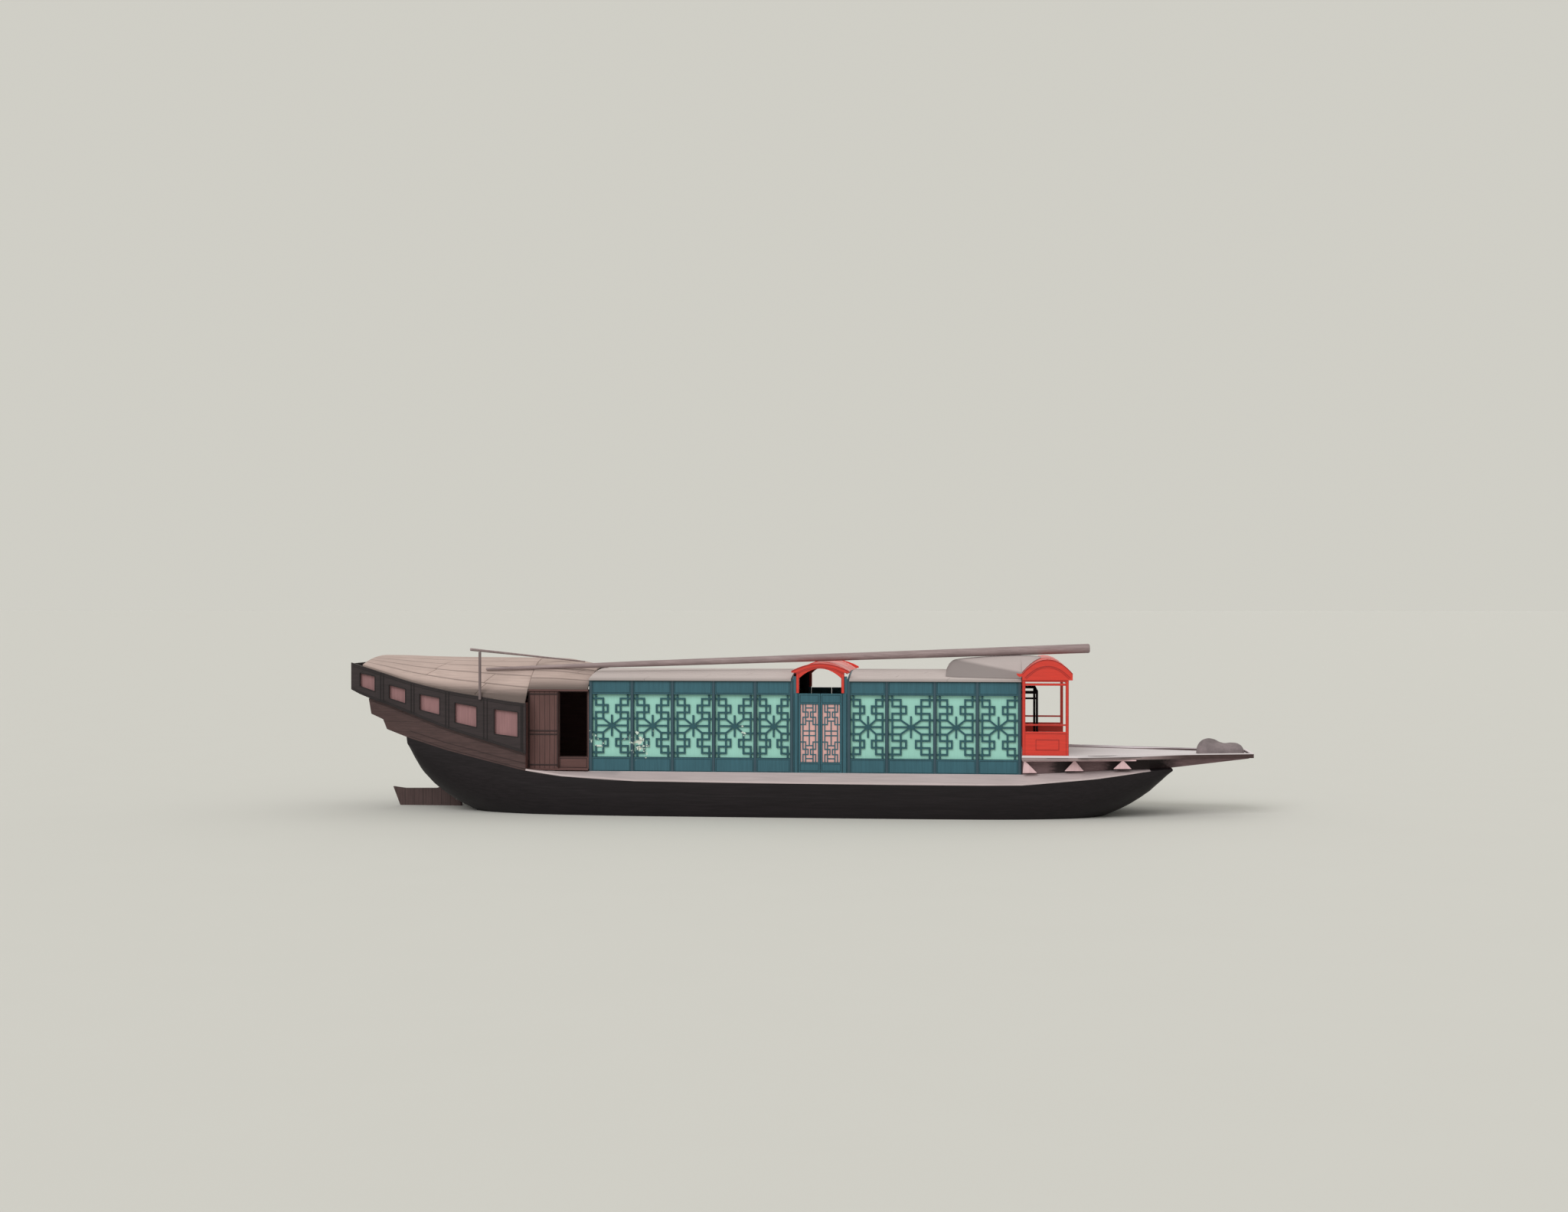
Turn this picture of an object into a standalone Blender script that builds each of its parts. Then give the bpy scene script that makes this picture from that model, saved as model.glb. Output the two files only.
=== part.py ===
"""River junk with a long house cabin, afloat with her mast laid along the roof.

Metres, +Z up, +X to the bow, +Y to port. The origin is on the waterline, on the
centreline, amidships.
"""
import itertools
import math

import bmesh
import bpy
from mathutils import Vector
from mathutils.geometry import delaunay_2d_cdt

# Seat between pieces that rest on each other
GAP = 0.0003

# Hull: columns x, centreline bottom z, half breadth at the sheer, sheer z, deck z inboard
HULL = (
    (-7.68, 1.30, 1.661, 1.651, 1.651), (-7.56, 0.98, 1.672, 1.613, 1.613),
    (-7.42, 0.70, 1.684, 1.571, 1.571),
    (-7.18, 0.44, 1.705, 1.499, 1.499), (-6.76, 0.14, 1.742, 1.375, 1.375),
    (-6.20, -0.12, 1.791, 1.238, 1.238), (-5.20, -0.42, 1.880, 1.000, 1.000),
    (-4.99, -0.47, 1.893, 0.957, 0.900), (-4.20, -0.60, 1.930, 0.845, 0.900),
    (-2.60, -0.72, 1.980, 0.758, 0.900), (0.00, -0.75, 2.000, 0.740, 0.900),
    (3.00, -0.75, 2.000, 0.730, 0.900), (4.80, -0.66, 1.970, 0.729, 0.900),
    (5.64, -0.54, 1.920, 0.735, 0.900), (6.40, -0.36, 1.830, 0.796, 0.932),
    (7.20, -0.11, 1.680, 0.860, 0.965), (7.80, 0.13, 1.500, 0.934, 0.992),
    (8.36, 0.48, 1.290, 1.005, 1.018), (8.84, 0.95, 1.080, 1.030, 1.040),
)
HULL_BREADTH = 2
HULL_SHEER = 3
HULL_DECK = 4
BILGE_STEPS = 9
BILGE_FULLNESS = 2.7
SHOULDER_WIDTH = 0.34
SHOULDER_STEP = 0.003
DECK_Z = 0.900
SIDE_DECK_THICK = 0.040
SIDE_DECK_X = (-4.99, 8.36)

# Cabin
WALL_Y = 1.600
WALL_THICK = 0.070
WALL_TOP = 2.920
WALL_AFT_X = -3.655
WALL_FORE_X = 5.635
GATE_X = (0.785, 1.935)
MULLION = 0.075
# Centres of the posts between the lattice panels of each run
POSTS_AFT = (-2.712, -1.834, -0.939, -0.040)
POSTS_FORE = (2.784, 3.805, 4.704)
WINDOW_Z = (1.250, 2.600)
# One quarter of the fret of a window, as shares of its width and height: u0, v0, u1, v1
WINDOW_FRET = (
    (0.08, 0.0, 0.08, 0.173), (0.0, 0.069, 0.27, 0.069), (0.27, 0.069, 0.27, 0.388),
    (0.08, 0.173, 0.39, 0.173), (0.39, 0.173, 0.39, 0.286), (0.08, 0.286, 0.39, 0.286),
    (0.08, 0.286, 0.08, 0.5), (0.0, 0.388, 0.27, 0.388), (0.27, 0.388, 0.5, 0.5),
    (0.08, 0.5, 0.5, 0.5), (0.5, 0.342, 0.5, 0.5),
)
WINDOW_FRET_HALF = 0.0185
WINDOW_FRET_DEPTH = 0.035
PANE_THICK = 0.012
PANE_LAP = 0.030
SOLE_THICK = 0.035
ROOF_THICK = 0.040
ROOF_OVERHANG = 0.055
CABIN_CROWN = 3.110
CAMBER_STEPS = 9

# Middle gate, one opening in each side with a cross vault above
GATE_JAMB = 0.105
GATE_LEAF_GAP = 0.010
GATE_LEAF_CLEAR = 0.006
GATE_LEAF_THICK = 0.040
GATE_LEAF_TOP = 2.634
GATE_SILL_TOP = 0.945
GATE_PAD_HIGH = 0.006
GATE_PAD_LONG = 0.050
GATE_PANEL_Z = (1.165, 2.405)
GATE_STILE = 0.040
GATE_PANEL_DEPTHS = (0.012, 0.028)
# One quarter of the fret of a leaf, as shares of its panel: u0, v0, u1, v1
LEAF_FRET = (
    (0.14, 0.0, 0.14, 0.133), (0.29, 0.0, 0.29, 0.35), (0.29, 0.063, 0.5, 0.063),
    (0.14, 0.133, 0.43, 0.133), (0.43, 0.133, 0.43, 0.224), (0.14, 0.224, 0.43, 0.224),
    (0.14, 0.224, 0.14, 0.5), (0.31, 0.287, 0.5, 0.287), (0.5, 0.287, 0.5, 0.5),
    (0.0, 0.35, 0.29, 0.35), (0.14, 0.46, 0.5, 0.46),
)
LEAF_FRET_HALF = 0.013
LEAF_FRET_DEPTH = 0.004
# Partition between the after cabin and the gate passage, with its own doorway
PARTITION_X = (0.7903, 0.8303)
PARTITION_DOOR_HALF = 0.400
PARTITION_DOOR_TOP = 2.750
PARTITION_TOP = 3.0447
GATE_POST_Z = (2.645, 3.075)
GATE_POST_WIDTH = 0.060
GATE_CROWN = 3.285
GATE_EAVE = 3.085
GATE_BOARD_DEEP = 0.115
GATE_TIP = 0.045

# Aft doorway and its sliding door
AFT_FRAME_X = (-4.970, -3.660)
AFT_OPEN_X = (-4.310, -3.700)
AFT_OPEN_Z = (1.250, 2.640)
AFT_DOOR_X = (-4.980, -4.320)
AFT_DOOR_Y = (1.615, 1.655)
AFT_DOOR_Z = (0.9903, 2.655)
AFT_LEDGE_Z = (0.960, 0.990)
AFT_LIP_Z = (2.665, 2.700)
AFT_LEDGE_OUT = 1.690

# Stern gallery wall. Columns: x, bottom z, top z, window sill above the bottom, head below the top
GALLERY = (
    (-8.940, 2.680, 3.267, 0.170, 0.150),
    (-8.740, 2.580, 3.205, 0.170, 0.160), (-8.390, 2.442, 3.097, 0.190, 0.125),
    (-8.070, 2.340, 2.999, 0.150, 0.210), (-7.690, 2.198, 2.883, 0.180, 0.185),
    (-7.370, 2.077, 2.800, 0.170, 0.205), (-6.910, 1.902, 2.700, 0.235, 0.185),
    (-6.570, 1.792, 2.635, 0.190, 0.220), (-6.070, 1.645, 2.559, 0.230, 0.225),
    (-5.680, 1.531, 2.496, 0.210, 0.210), (-5.144, 1.373, 2.425, 0.305, 0.200),
    (-4.970, 1.321, 2.407, 0.305, 0.200),
)
GALLERY_BOTTOM = 1
GALLERY_TOP = 2
GALLERY_SILL = 3
GALLERY_HEAD = 4
GALLERY_END_Y = (1.600, 1.950)
GALLERY_THICK = 0.060
BAND_INSET = 0.050
BAND_THICK = 0.070
BAND_END_X = -4.991
# Stepped after end of the brown band, from its top corner down to the hull
BAND_STEPS = ((-8.55, 2.484), (-8.49, 2.148), (-8.22, 2.032), (-8.13, 1.817), (-7.68, 1.6513))
TRANSOM = ((-8.925, 3.250), (-8.865, 3.250), (-8.790, 2.720), (-8.850, 2.720))
COUNTER = (
    (-8.86, 2.655), (-8.52, 2.490), (-8.46, 2.160), (-8.21, 2.050), (-8.12, 1.840),
    (-7.6803, 1.640), (-7.6803, 1.740), (-8.005, 1.860), (-8.005, 2.400), (-8.78, 2.715),
)

# Aft roof: columns x, crown z
AFT_CROWN = (
    (-8.68, 3.390), (-8.20, 3.386), (-7.54, 3.365), (-6.71, 3.350), (-4.97, 3.343),
    (-4.50, 3.325), (-4.05, 3.250), (-3.665, 3.170),
)
AFT_ROOF_X = (-8.680, -4.985)
AFT_ROUNDNESS = 2.2
AFT_STEPS = 11

# Foredeck. Columns: x, half width
FOREDECK = ((5.64, 1.80), (6.80, 1.78), (8.30, 1.27), (9.56, 0.88), (10.53, 0.62))
FOREDECK_Z = (1.270, 1.300)
EDGE_Z = (1.250, 1.355)
EDGE_THICK = 0.060
COAMING_TIP = (10.50, 1.235)
COAMING_INSET = 0.020
# Knees under the deck edge, columns: aft foot x, peak x, fore foot x, foot z, peak z
KNEES = ((5.660, 5.700, 5.960, 0.985, 1.225), (6.540, 6.750, 6.940, 1.020, 1.225),
         (7.570, 7.770, 7.950, 1.060, 1.225))
KNEE_THICK = 0.050
KNEE_TIP = 0.020
# Outer face of the knees at their after end, and how far it closes in per metre forward
KNEE_OUT = 1.740
KNEE_SLANT = 0.155

# Portico at the fore end of the cabin
PORTICO_X = (5.650, 6.623)
PORTICO_Y = 1.700
PORTICO_THICK = 0.060
PORTICO_POST = 0.065
# Horizontal members of a side screen, columns: bottom z, top z
PORTICO_RAILS = ((1.3003, 1.854), (1.980, 2.015), (2.827, 2.875), (2.905, 2.940))
PORTICO_CROWN = 3.386
PORTICO_EAVE = 3.087
PORTICO_TIP_X = (5.650, 6.705)
PORTICO_HEAD_Z = 2.9403
PORTICO_FRONT_RAIL = (2.860, 2.9397)
BULKHEAD_X = (5.560, 5.620)
DOORWAY_Y = 1.300
DOORWAY_Z = (1.300, 2.660)
# Black portal that stands forward of the doorway, held to it by two rails a side
PORTAL_X = (5.940, 5.990)
PORTAL_Y = (1.270, 1.330)
PORTAL_Z = (2.520, 2.560, 2.640, 2.700)

# Hood over the fore end of the cabin roof. Columns: x, share of its full rise, half width
HOOD = ((4.03, 0.09, 1.33), (4.08, 0.40, 1.36), (4.20, 0.68, 1.40), (4.60, 0.84, 1.45),
        (5.10, 0.94, 1.50), (5.56, 0.99, 1.53), (5.6353, 1.00, 1.53))
# Its fore end over the arch of the portico. Columns: x, height over the arch, half width
HOOD_FORE = ((5.6497, 0.335, 1.45), (5.7555, 0.225, 1.30), (5.8610, 0.140, 1.10),
             (5.9665, 0.070, 0.85), (6.0720, 0.022, 0.50))
HOOD_LIP = 0.020
HOOD_ROUNDNESS = 2.2

# Spars
MAST_AFT = (-6.03, -1.19, 3.1190)
MAST_FORE = (7.136, 0.0, 3.578)
# Columns: fraction along the mast, radius
MAST_TAPER = ((0.0, 0.030), (0.27, 0.066), (0.5, 0.078), (0.78, 0.090), (1.0, 0.103))
POST_X = -5.990
POST_FOOT_BELOW = 0.060
POST_RADIUS = 0.030
BOOM_AFT = (-6.158, -2.040, 3.570)
BOOM_FORE = (-4.040, -0.120, 3.2595)
BOOM_RADII = (0.031, 0.012)
SPAR_SIDES = 12

# Rudder, on a vertical stock through the counter
STOCK_X = -6.955
STOCK_HALF = (0.075, 0.060)
STOCK_Z = (-0.980, 0.130)
STOCK_RADIUS = 0.060
STOCK_SIDES = 16
TRUNK_RADIUS = 0.085
COLLAR_RADIUS = 0.130
COLLAR_Z = (1.5603, 1.620)
HEAD_BLOCK_X = (-7.175, -6.765)
HEAD_BLOCK_HALF = 0.200
HEAD_BLOCK_TOP = 1.560
STOCK_HEAD_Z = 2.060
TILLER_Z = (1.900, 1.980)
TILLER_REACH = 1.250
TILLER_HALF = 0.035
BLADE_THICK = 0.070
BLADE = (
    (-7.0303, 0.200), (-7.340, 0.430), (-7.470, 0.390), (-8.176, 0.383), (-8.466, 0.421),
    (-8.285, -0.044), (-8.080, -0.960), (-7.0303, -0.960),
)

# Two smooth stones lying on the fore end of the deck. Columns: x, crown z above the deck, half width
STONES = ((9.44, 0.03, 0.05), (9.50, 0.16, 0.17), (9.60, 0.29, 0.24), (9.72, 0.33, 0.27),
          (9.86, 0.29, 0.26), (10.00, 0.23, 0.22), (10.14, 0.24, 0.22), (10.28, 0.22, 0.21),
          (10.40, 0.15, 0.16), (10.46, 0.05, 0.07))
STONE_STEPS = 8

SIDES = (("starboard", -1.0), ("port", 1.0))


def clear_scene():
    """Start from an empty scene."""
    for obj in list(bpy.data.objects):
        bpy.data.objects.remove(obj, do_unlink=True)


def make_material(name, colour, roughness):
    """A plain painted or bare wood finish."""
    material = bpy.data.materials.new(name)
    material.use_nodes = True
    shader = material.node_tree.nodes["Principled BSDF"]
    shader.inputs["Base Color"].default_value = (*colour, 1.0)
    shader.inputs["Roughness"].default_value = roughness
    shader.inputs["Metallic"].default_value = 0.0
    return material


def along(table, x, column=1):
    """Value of a column of a table at x, straight between its rows."""
    if x <= table[0][0]:
        return table[0][column]
    for low, high in zip(table, table[1:]):
        if x <= high[0]:
            share = (x - low[0]) / (high[0] - low[0])
            return low[column] + share * (high[column] - low[column])
    return table[-1][column]


def add_mesh(name, verts, faces, material, origin=(0.0, 0.0, 0.0), smooth=False, merged=False):
    """Make one closed object whose origin is at the given point."""
    mesh = bpy.data.meshes.new(name)
    moved = [(x - origin[0], y - origin[1], z - origin[2]) for x, y, z in verts]
    mesh.from_pydata(moved, [], faces)
    work = bmesh.new()
    work.from_mesh(mesh)
    if merged:
        bmesh.ops.dissolve_limit(work, angle_limit=math.radians(0.1), verts=work.verts,
                                 edges=work.edges)
    bmesh.ops.recalc_face_normals(work, faces=work.faces)
    work.to_mesh(mesh)
    work.free()
    mesh.materials.append(material)
    if smooth:
        mesh.shade_smooth()
        mesh.set_sharp_from_angle(angle=math.radians(35.0))
    obj = bpy.data.objects.new(name, mesh)
    obj.location = origin
    bpy.context.scene.collection.objects.link(obj)
    return obj


def split_quad(verts, a, b, c, d):
    """Two triangles across the shorter diagonal, so that mating faces split alike."""
    if math.dist(verts[a], verts[c]) <= math.dist(verts[b], verts[d]):
        return [(a, b, c), (a, c, d)]
    return [(a, b, d), (b, c, d)]


def add_loft(name, sections, material, origin=(0.0, 0.0, 0.0), smooth=True):
    """Skin closed sections of equal count, with flat end caps."""
    count = len(sections[0])
    verts = [point for section in sections for point in section]
    faces = []
    for row in range(len(sections) - 1):
        for col in range(count):
            nxt = (col + 1) % count
            faces += split_quad(verts, row * count + col, row * count + nxt,
                                (row + 1) * count + nxt, (row + 1) * count + col)
    faces.append(tuple(range(count)))
    faces.append(tuple(range((len(sections) - 1) * count, len(sections) * count)))
    return add_mesh(name, verts, faces, material, origin, smooth)


def add_box(name, low, high, material, origin=(0.0, 0.0, 0.0)):
    """A plank or post with square edges."""
    ring = ((0, 0), (1, 0), (1, 1), (0, 1))
    xs, ys, zs = zip(low, high)
    sections = [[(xs[i], ys[a], zs[b]) for a, b in ring] for i in (0, 1)]
    return add_loft(name, sections, material, origin, smooth=False)


def add_outline(name, outline, faces_y, material, origin=(0.0, 0.0, 0.0)):
    """Extrude an (x, z) outline between two y values, each a number or a function of x."""
    low, high = (y if callable(y) else (lambda x, y=y: y) for y in faces_y)
    count = len(outline)
    verts = [(x, low(x), z) for x, z in outline] + [(x, high(x), z) for x, z in outline]
    faces = [tuple(range(count)), tuple(range(count, 2 * count))]
    for i in range(count):
        j = (i + 1) % count
        faces.append((i, j, count + j, count + i))
    return add_mesh(name, verts, faces, material, origin)


def add_cells(name, columns, rows, filled, place, material, origin=(0.0, 0.0, 0.0)):
    """A pierced plate: filled cells of a grid, whose corners place(i, j, side) sets."""
    verts = []
    index = {}

    def corner(i, j, side):
        key = (i, j, side)
        if key not in index:
            index[key] = len(verts)
            verts.append(place(i, j, side))
        return index[key]

    faces = []
    for i in range(columns):
        for j in range(rows):
            if not filled(i, j):
                continue
            for side in (0, 1):
                faces.append((corner(i, j, side), corner(i + 1, j, side),
                              corner(i + 1, j + 1, side), corner(i, j + 1, side)))
            for di, dj, a, b in ((-1, 0, (0, 0), (0, 1)), (1, 0, (1, 0), (1, 1)),
                                 (0, -1, (0, 0), (1, 0)), (0, 1, (0, 1), (1, 1))):
                if 0 <= i + di < columns and 0 <= j + dj < rows and filled(i + di, j + dj):
                    continue
                faces.append((corner(i + a[0], j + a[1], 0), corner(i + b[0], j + b[1], 0),
                              corner(i + b[0], j + b[1], 1), corner(i + a[0], j + a[1], 1)))
    return add_mesh(name, verts, faces, material, origin)


def add_screen(name, xs, zs, openings, faces_y, material, origin=(0.0, 0.0, 0.0)):
    """A square plate on cuts xs and zs, open at the listed (column, row) cells."""
    def place(i, j, side):
        return (xs[i], faces_y[side], zs[j])

    def filled(i, j):
        return (i, j) not in openings

    return add_cells(name, len(xs) - 1, len(zs) - 1, filled, place, material, origin)


def add_blocks(name, cuts, solid, material, origin=(0.0, 0.0, 0.0)):
    """One body from the solid cells of a grid with cuts along x, y and z."""
    size = [len(values) - 1 for values in cuts]
    cells = [cell for cell in itertools.product(*(range(n) for n in size)) if solid(*cell)]
    verts = []
    index = {}
    faces = []
    for cell in cells:
        for axis, step in itertools.product(range(3), (0, 1)):
            beside = list(cell)
            beside[axis] += 2 * step - 1
            if tuple(beside) in cells:
                continue
            a, b = (n for n in range(3) if n != axis)
            face = []
            for da, db in ((0, 0), (1, 0), (1, 1), (0, 1)):
                at = list(cell)
                at[axis] += step
                at[a] += da
                at[b] += db
                key = tuple(at)
                if key not in index:
                    index[key] = len(verts)
                    verts.append(tuple(cuts[n][key[n]] for n in range(3)))
                face.append(index[key])
            faces.append(tuple(face))
    return add_mesh(name, verts, faces, material, origin)


def rectangle(x_range, z_range):
    """Corners (x, z) of a rectangle."""
    (x0, x1), (z0, z1) = x_range, z_range
    return [(x0, z0), (x1, z0), (x1, z1), (x0, z1)]


def fret_strokes(table, x_range, z_range, half):
    """Outlines (x, z) of the strokes of a fret, its quarter mirrored over a whole panel."""
    (x0, x1), (z0, z1) = x_range, z_range
    strokes = {}
    for u0, v0, u1, v1 in table:
        for flip_u, flip_v in itertools.product((False, True), repeat=2):
            ends = sorted((round(1.0 - u if flip_u else u, 4), round(1.0 - v if flip_v else v, 4))
                          for u, v in ((u0, v0), (u1, v1)))
            (ax, az), (bx, bz) = ((x0 + u * (x1 - x0), z1 - v * (z1 - z0)) for u, v in ends)
            size = math.hypot(bx - ax, bz - az)
            dx, dz = half * (bx - ax) / size, half * (bz - az) / size
            corners = ((ax - dx + dz, az - dz - dx), (bx + dx + dz, bz + dz - dx),
                       (bx + dx - dz, bz + dz + dx), (ax - dx - dz, az - dz + dx))
            strokes[tuple(ends)] = [(min(x1, max(x0, x)), min(z1, max(z0, z))) for x, z in corners]
    return list(strokes.values())


def add_relief(name, regions, sign, material, origin=(0.0, 0.0, 0.0)):
    """A wall or leaf of one body, from regions: outline (x, z), front depth, back depth."""
    corners = []
    loops = []
    for outline, _, _ in regions:
        loops.append(list(range(len(corners), len(corners) + len(outline))))
        corners += [Vector(point) for point in outline]
    points, _, tris, _, _, owners = delaunay_2d_cdt(corners, [], loops, 1, 1e-5)
    pieces = [(tri, min(regions[i][1] for i in owner), max(regions[i][2] for i in owner))
              for tri, owner in zip(tris, owners) if owner]
    span_of = {}
    levels = [set() for _ in points]
    for tri, front, back in pieces:
        for a, b in zip(tri, tri[1:] + tri[:1]):
            span_of[(a, b)] = (front, back)
            levels[a].update((front, back))
    verts = []
    index = {}

    def corner(point, level):
        key = (point, level)
        if key not in index:
            index[key] = len(verts)
            x, z = points[point]
            verts.append((x, sign * (WALL_Y - level), z))
        return index[key]

    faces = []
    for tri, front, back in pieces:
        faces.append(tuple(corner(i, front) for i in tri))
        faces.append(tuple(corner(i, back) for i in reversed(tri)))
    for (a, b), (front, back) in span_of.items():
        beside = span_of.get((b, a))
        bare = [(front, back)] if beside is None else [(front, beside[0]), (beside[1], back)]
        for low, high in bare:
            if high > low:
                down = [corner(a, n) for n in sorted(levels[a]) if low <= n <= high]
                up = [corner(b, n) for n in sorted(levels[b], reverse=True) if low <= n <= high]
                faces.append(tuple(down + up))
    return add_mesh(name, verts, faces, material, origin, merged=True)


def add_spar(name, ends, taper, material, sides=SPAR_SIDES):
    """A round tapering pole between two points, a corner of its section lowest."""
    (ax, ay, az), (bx, by, bz) = ends
    length = math.dist(ends[0], ends[1])
    forward = ((bx - ax) / length, (by - ay) / length, (bz - az) / length)
    flat = math.hypot(forward[0], forward[1])
    across = (-forward[1] / flat, forward[0] / flat, 0.0)
    upward = (-forward[2] * forward[0] / flat, -forward[2] * forward[1] / flat, flat)
    sections = []
    for share, radius in taper:
        centre = (ax + share * (bx - ax), ay + share * (by - ay), az + share * (bz - az))
        ring = []
        for step in range(sides):
            turn = math.tau * step / sides - math.pi / 2.0
            side, lift = radius * math.cos(turn), radius * math.sin(turn)
            ring.append(tuple(centre[k] + side * across[k] + lift * upward[k] for k in range(3)))
        sections.append(ring)
    return add_loft(name, sections, material)


def mast_underside(x):
    """Lowest height of the mast at x."""
    share = (x - MAST_AFT[0]) / (MAST_FORE[0] - MAST_AFT[0])
    steep = (MAST_FORE[2] - MAST_AFT[2]) / math.dist(MAST_AFT[:2], MAST_FORE[:2])
    axis_z = MAST_AFT[2] + share * (MAST_FORE[2] - MAST_AFT[2])
    return axis_z - along(MAST_TAPER, share) * math.hypot(1.0, steep)


def camber(half_width, eave, crown, steps, power=2.0):
    """Points (y, z) of a low vault from starboard to port."""
    points = []
    for step in range(steps + 1):
        y = half_width * (2.0 * step / steps - 1.0)
        points.append((y, crown - (crown - eave) * (abs(y) / half_width) ** power))
    return points


def seated_eave(half, seat_y, seat_z, crown, steps):
    """Eave height that puts the faceted camber at seat_z where it crosses seat_y."""
    share = (half - seat_y) / (2.0 * half / steps)
    inner = (1.0 - 2.0 / steps) ** 2
    return (seat_z - share * crown * (1.0 - inner)) / (1.0 - share * (1.0 - inner))


def vault_section(x, half_width, eave, crown, thick, steps, power=2.0):
    """Closed section of a curved roof plate of even height."""
    top = camber(half_width, eave, crown, steps, power)
    return [(x, y, z) for y, z in top] + [(x, y, z - thick) for y, z in reversed(top)]


def arch_outline(x_range, eave, crown, deep, steps=10):
    """Outline (x, z) of an arched board whose underside follows its top."""
    middle = (x_range[0] + x_range[1]) / 2.0
    half = (x_range[1] - x_range[0]) / 2.0
    top = [(middle + y, z) for y, z in camber(half, eave, crown, steps)]
    return top, [(x, z - deep) for x, z in top]


def gallery_y(x):
    """Outer face of the gallery wall, port side."""
    share = (x - GALLERY[0][0]) / (GALLERY[-1][0] - GALLERY[0][0])
    return GALLERY_END_Y[0] + share * (GALLERY_END_Y[1] - GALLERY_END_Y[0])


def shoulder_y(x, half_breadth):
    """Inner end of the sloping shoulder of the hull, port side."""
    if x <= 5.64:
        return min(WALL_Y + SHOULDER_STEP, half_breadth - 0.12)
    return half_breadth - SHOULDER_WIDTH


def hull_section(x, bottom, half_breadth, sheer, deck):
    """Closed section of the hull: full bilges, sloping shoulders and a flat deck."""
    side = []
    for step in range(BILGE_STEPS + 1):
        turn = math.pi / 2.0 * step / BILGE_STEPS
        y = half_breadth * math.sin(turn) ** (2.0 / BILGE_FULLNESS)
        z = sheer - (sheer - bottom) * math.cos(turn) ** (2.0 / BILGE_FULLNESS)
        side.append((y, z))
    side.append((shoulder_y(x, half_breadth), deck))
    return [(x, y, z) for y, z in side] + [(x, -y, z) for y, z in reversed(side[1:])]


def build_hull(paints):
    """Round-bilged hull with an open trunk for the rudder stock."""
    hull = add_loft("hull", [hull_section(*row) for row in HULL], paints["hull"])
    turns = [math.tau * k / STOCK_SIDES for k in range(STOCK_SIDES)]
    trunk = [[(STOCK_X + TRUNK_RADIUS * math.cos(turn), TRUNK_RADIUS * math.sin(turn), z)
              for turn in turns] for z in (-0.6, 2.2)]
    cutter = add_loft("trunk_cutter", trunk, paints["hull"], smooth=False)
    cutter.hide_render = True
    cutter.display_type = "WIRE"
    cut_trunk(hull)


def build_side_decks(paints):
    """Pale sloping planks on the shoulders of the hull, outboard of the cabin walls."""
    rows = [row for row in HULL if SIDE_DECK_X[0] <= row[0] <= SIDE_DECK_X[1]]
    for side, sign in SIDES:
        sections = []
        for x, _, half_breadth, sheer, deck in rows:
            inner = (shoulder_y(x, half_breadth), deck + GAP)
            outer = (half_breadth, sheer + GAP)
            ring = (inner, outer, (outer[0], outer[1] + SIDE_DECK_THICK),
                    (inner[0], inner[1] + SIDE_DECK_THICK))
            sections.append([(x, sign * y, z) for y, z in ring])
        add_loft(f"side_deck_{side}", sections, paints["pale"], smooth=False)


def build_sole(paints):
    """Boards of the cabin floor between the walls."""
    half = WALL_Y - WALL_THICK - PANE_THICK - 0.010
    add_box("cabin_sole", (AFT_FRAME_X[0], -half, DECK_Z + GAP),
            (BULKHEAD_X[0] - GAP, half, DECK_Z + SOLE_THICK), paints["roof"])


def build_cabin_walls(paints):
    """Teal walls with fretwork in their windows, and the pale green panes behind them."""
    inner = WALL_Y - WALL_THICK
    low, high = DECK_Z + GAP, WALL_TOP
    runs = (("aft", WALL_AFT_X, GATE_X[0], POSTS_AFT), ("fore", GATE_X[1], WALL_FORE_X, POSTS_FORE))
    for label, start, end, posts in runs:
        lefts = [start] + [post - MULLION / 2.0 for post in posts] + [end - MULLION]
        solid = [rectangle((start, end), (low, WINDOW_Z[0])),
                 rectangle((start, end), (WINDOW_Z[1], high))]
        solid += [rectangle((x, x + MULLION), WINDOW_Z) for x in lefts]
        regions = [(outline, 0.0, WALL_THICK) for outline in solid]
        for left, right in zip(lefts, lefts[1:]):
            strokes = fret_strokes(WINDOW_FRET, (left + MULLION, right), WINDOW_Z,
                                   WINDOW_FRET_HALF)
            regions += [(stroke, WINDOW_FRET_DEPTH, WALL_THICK) for stroke in strokes]
        for side, sign in SIDES:
            add_relief(f"wall_{label}_{side}", regions, sign, paints["teal"])
            pane_y = sorted((sign * (inner - GAP), sign * (inner - PANE_THICK)))
            add_box(f"panes_{label}_{side}",
                    (start + MULLION - PANE_LAP, pane_y[0], WINDOW_Z[0] - PANE_LAP),
                    (lefts[-1] + PANE_LAP, pane_y[1], WINDOW_Z[1] + PANE_LAP), paints["mint"])


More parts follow.
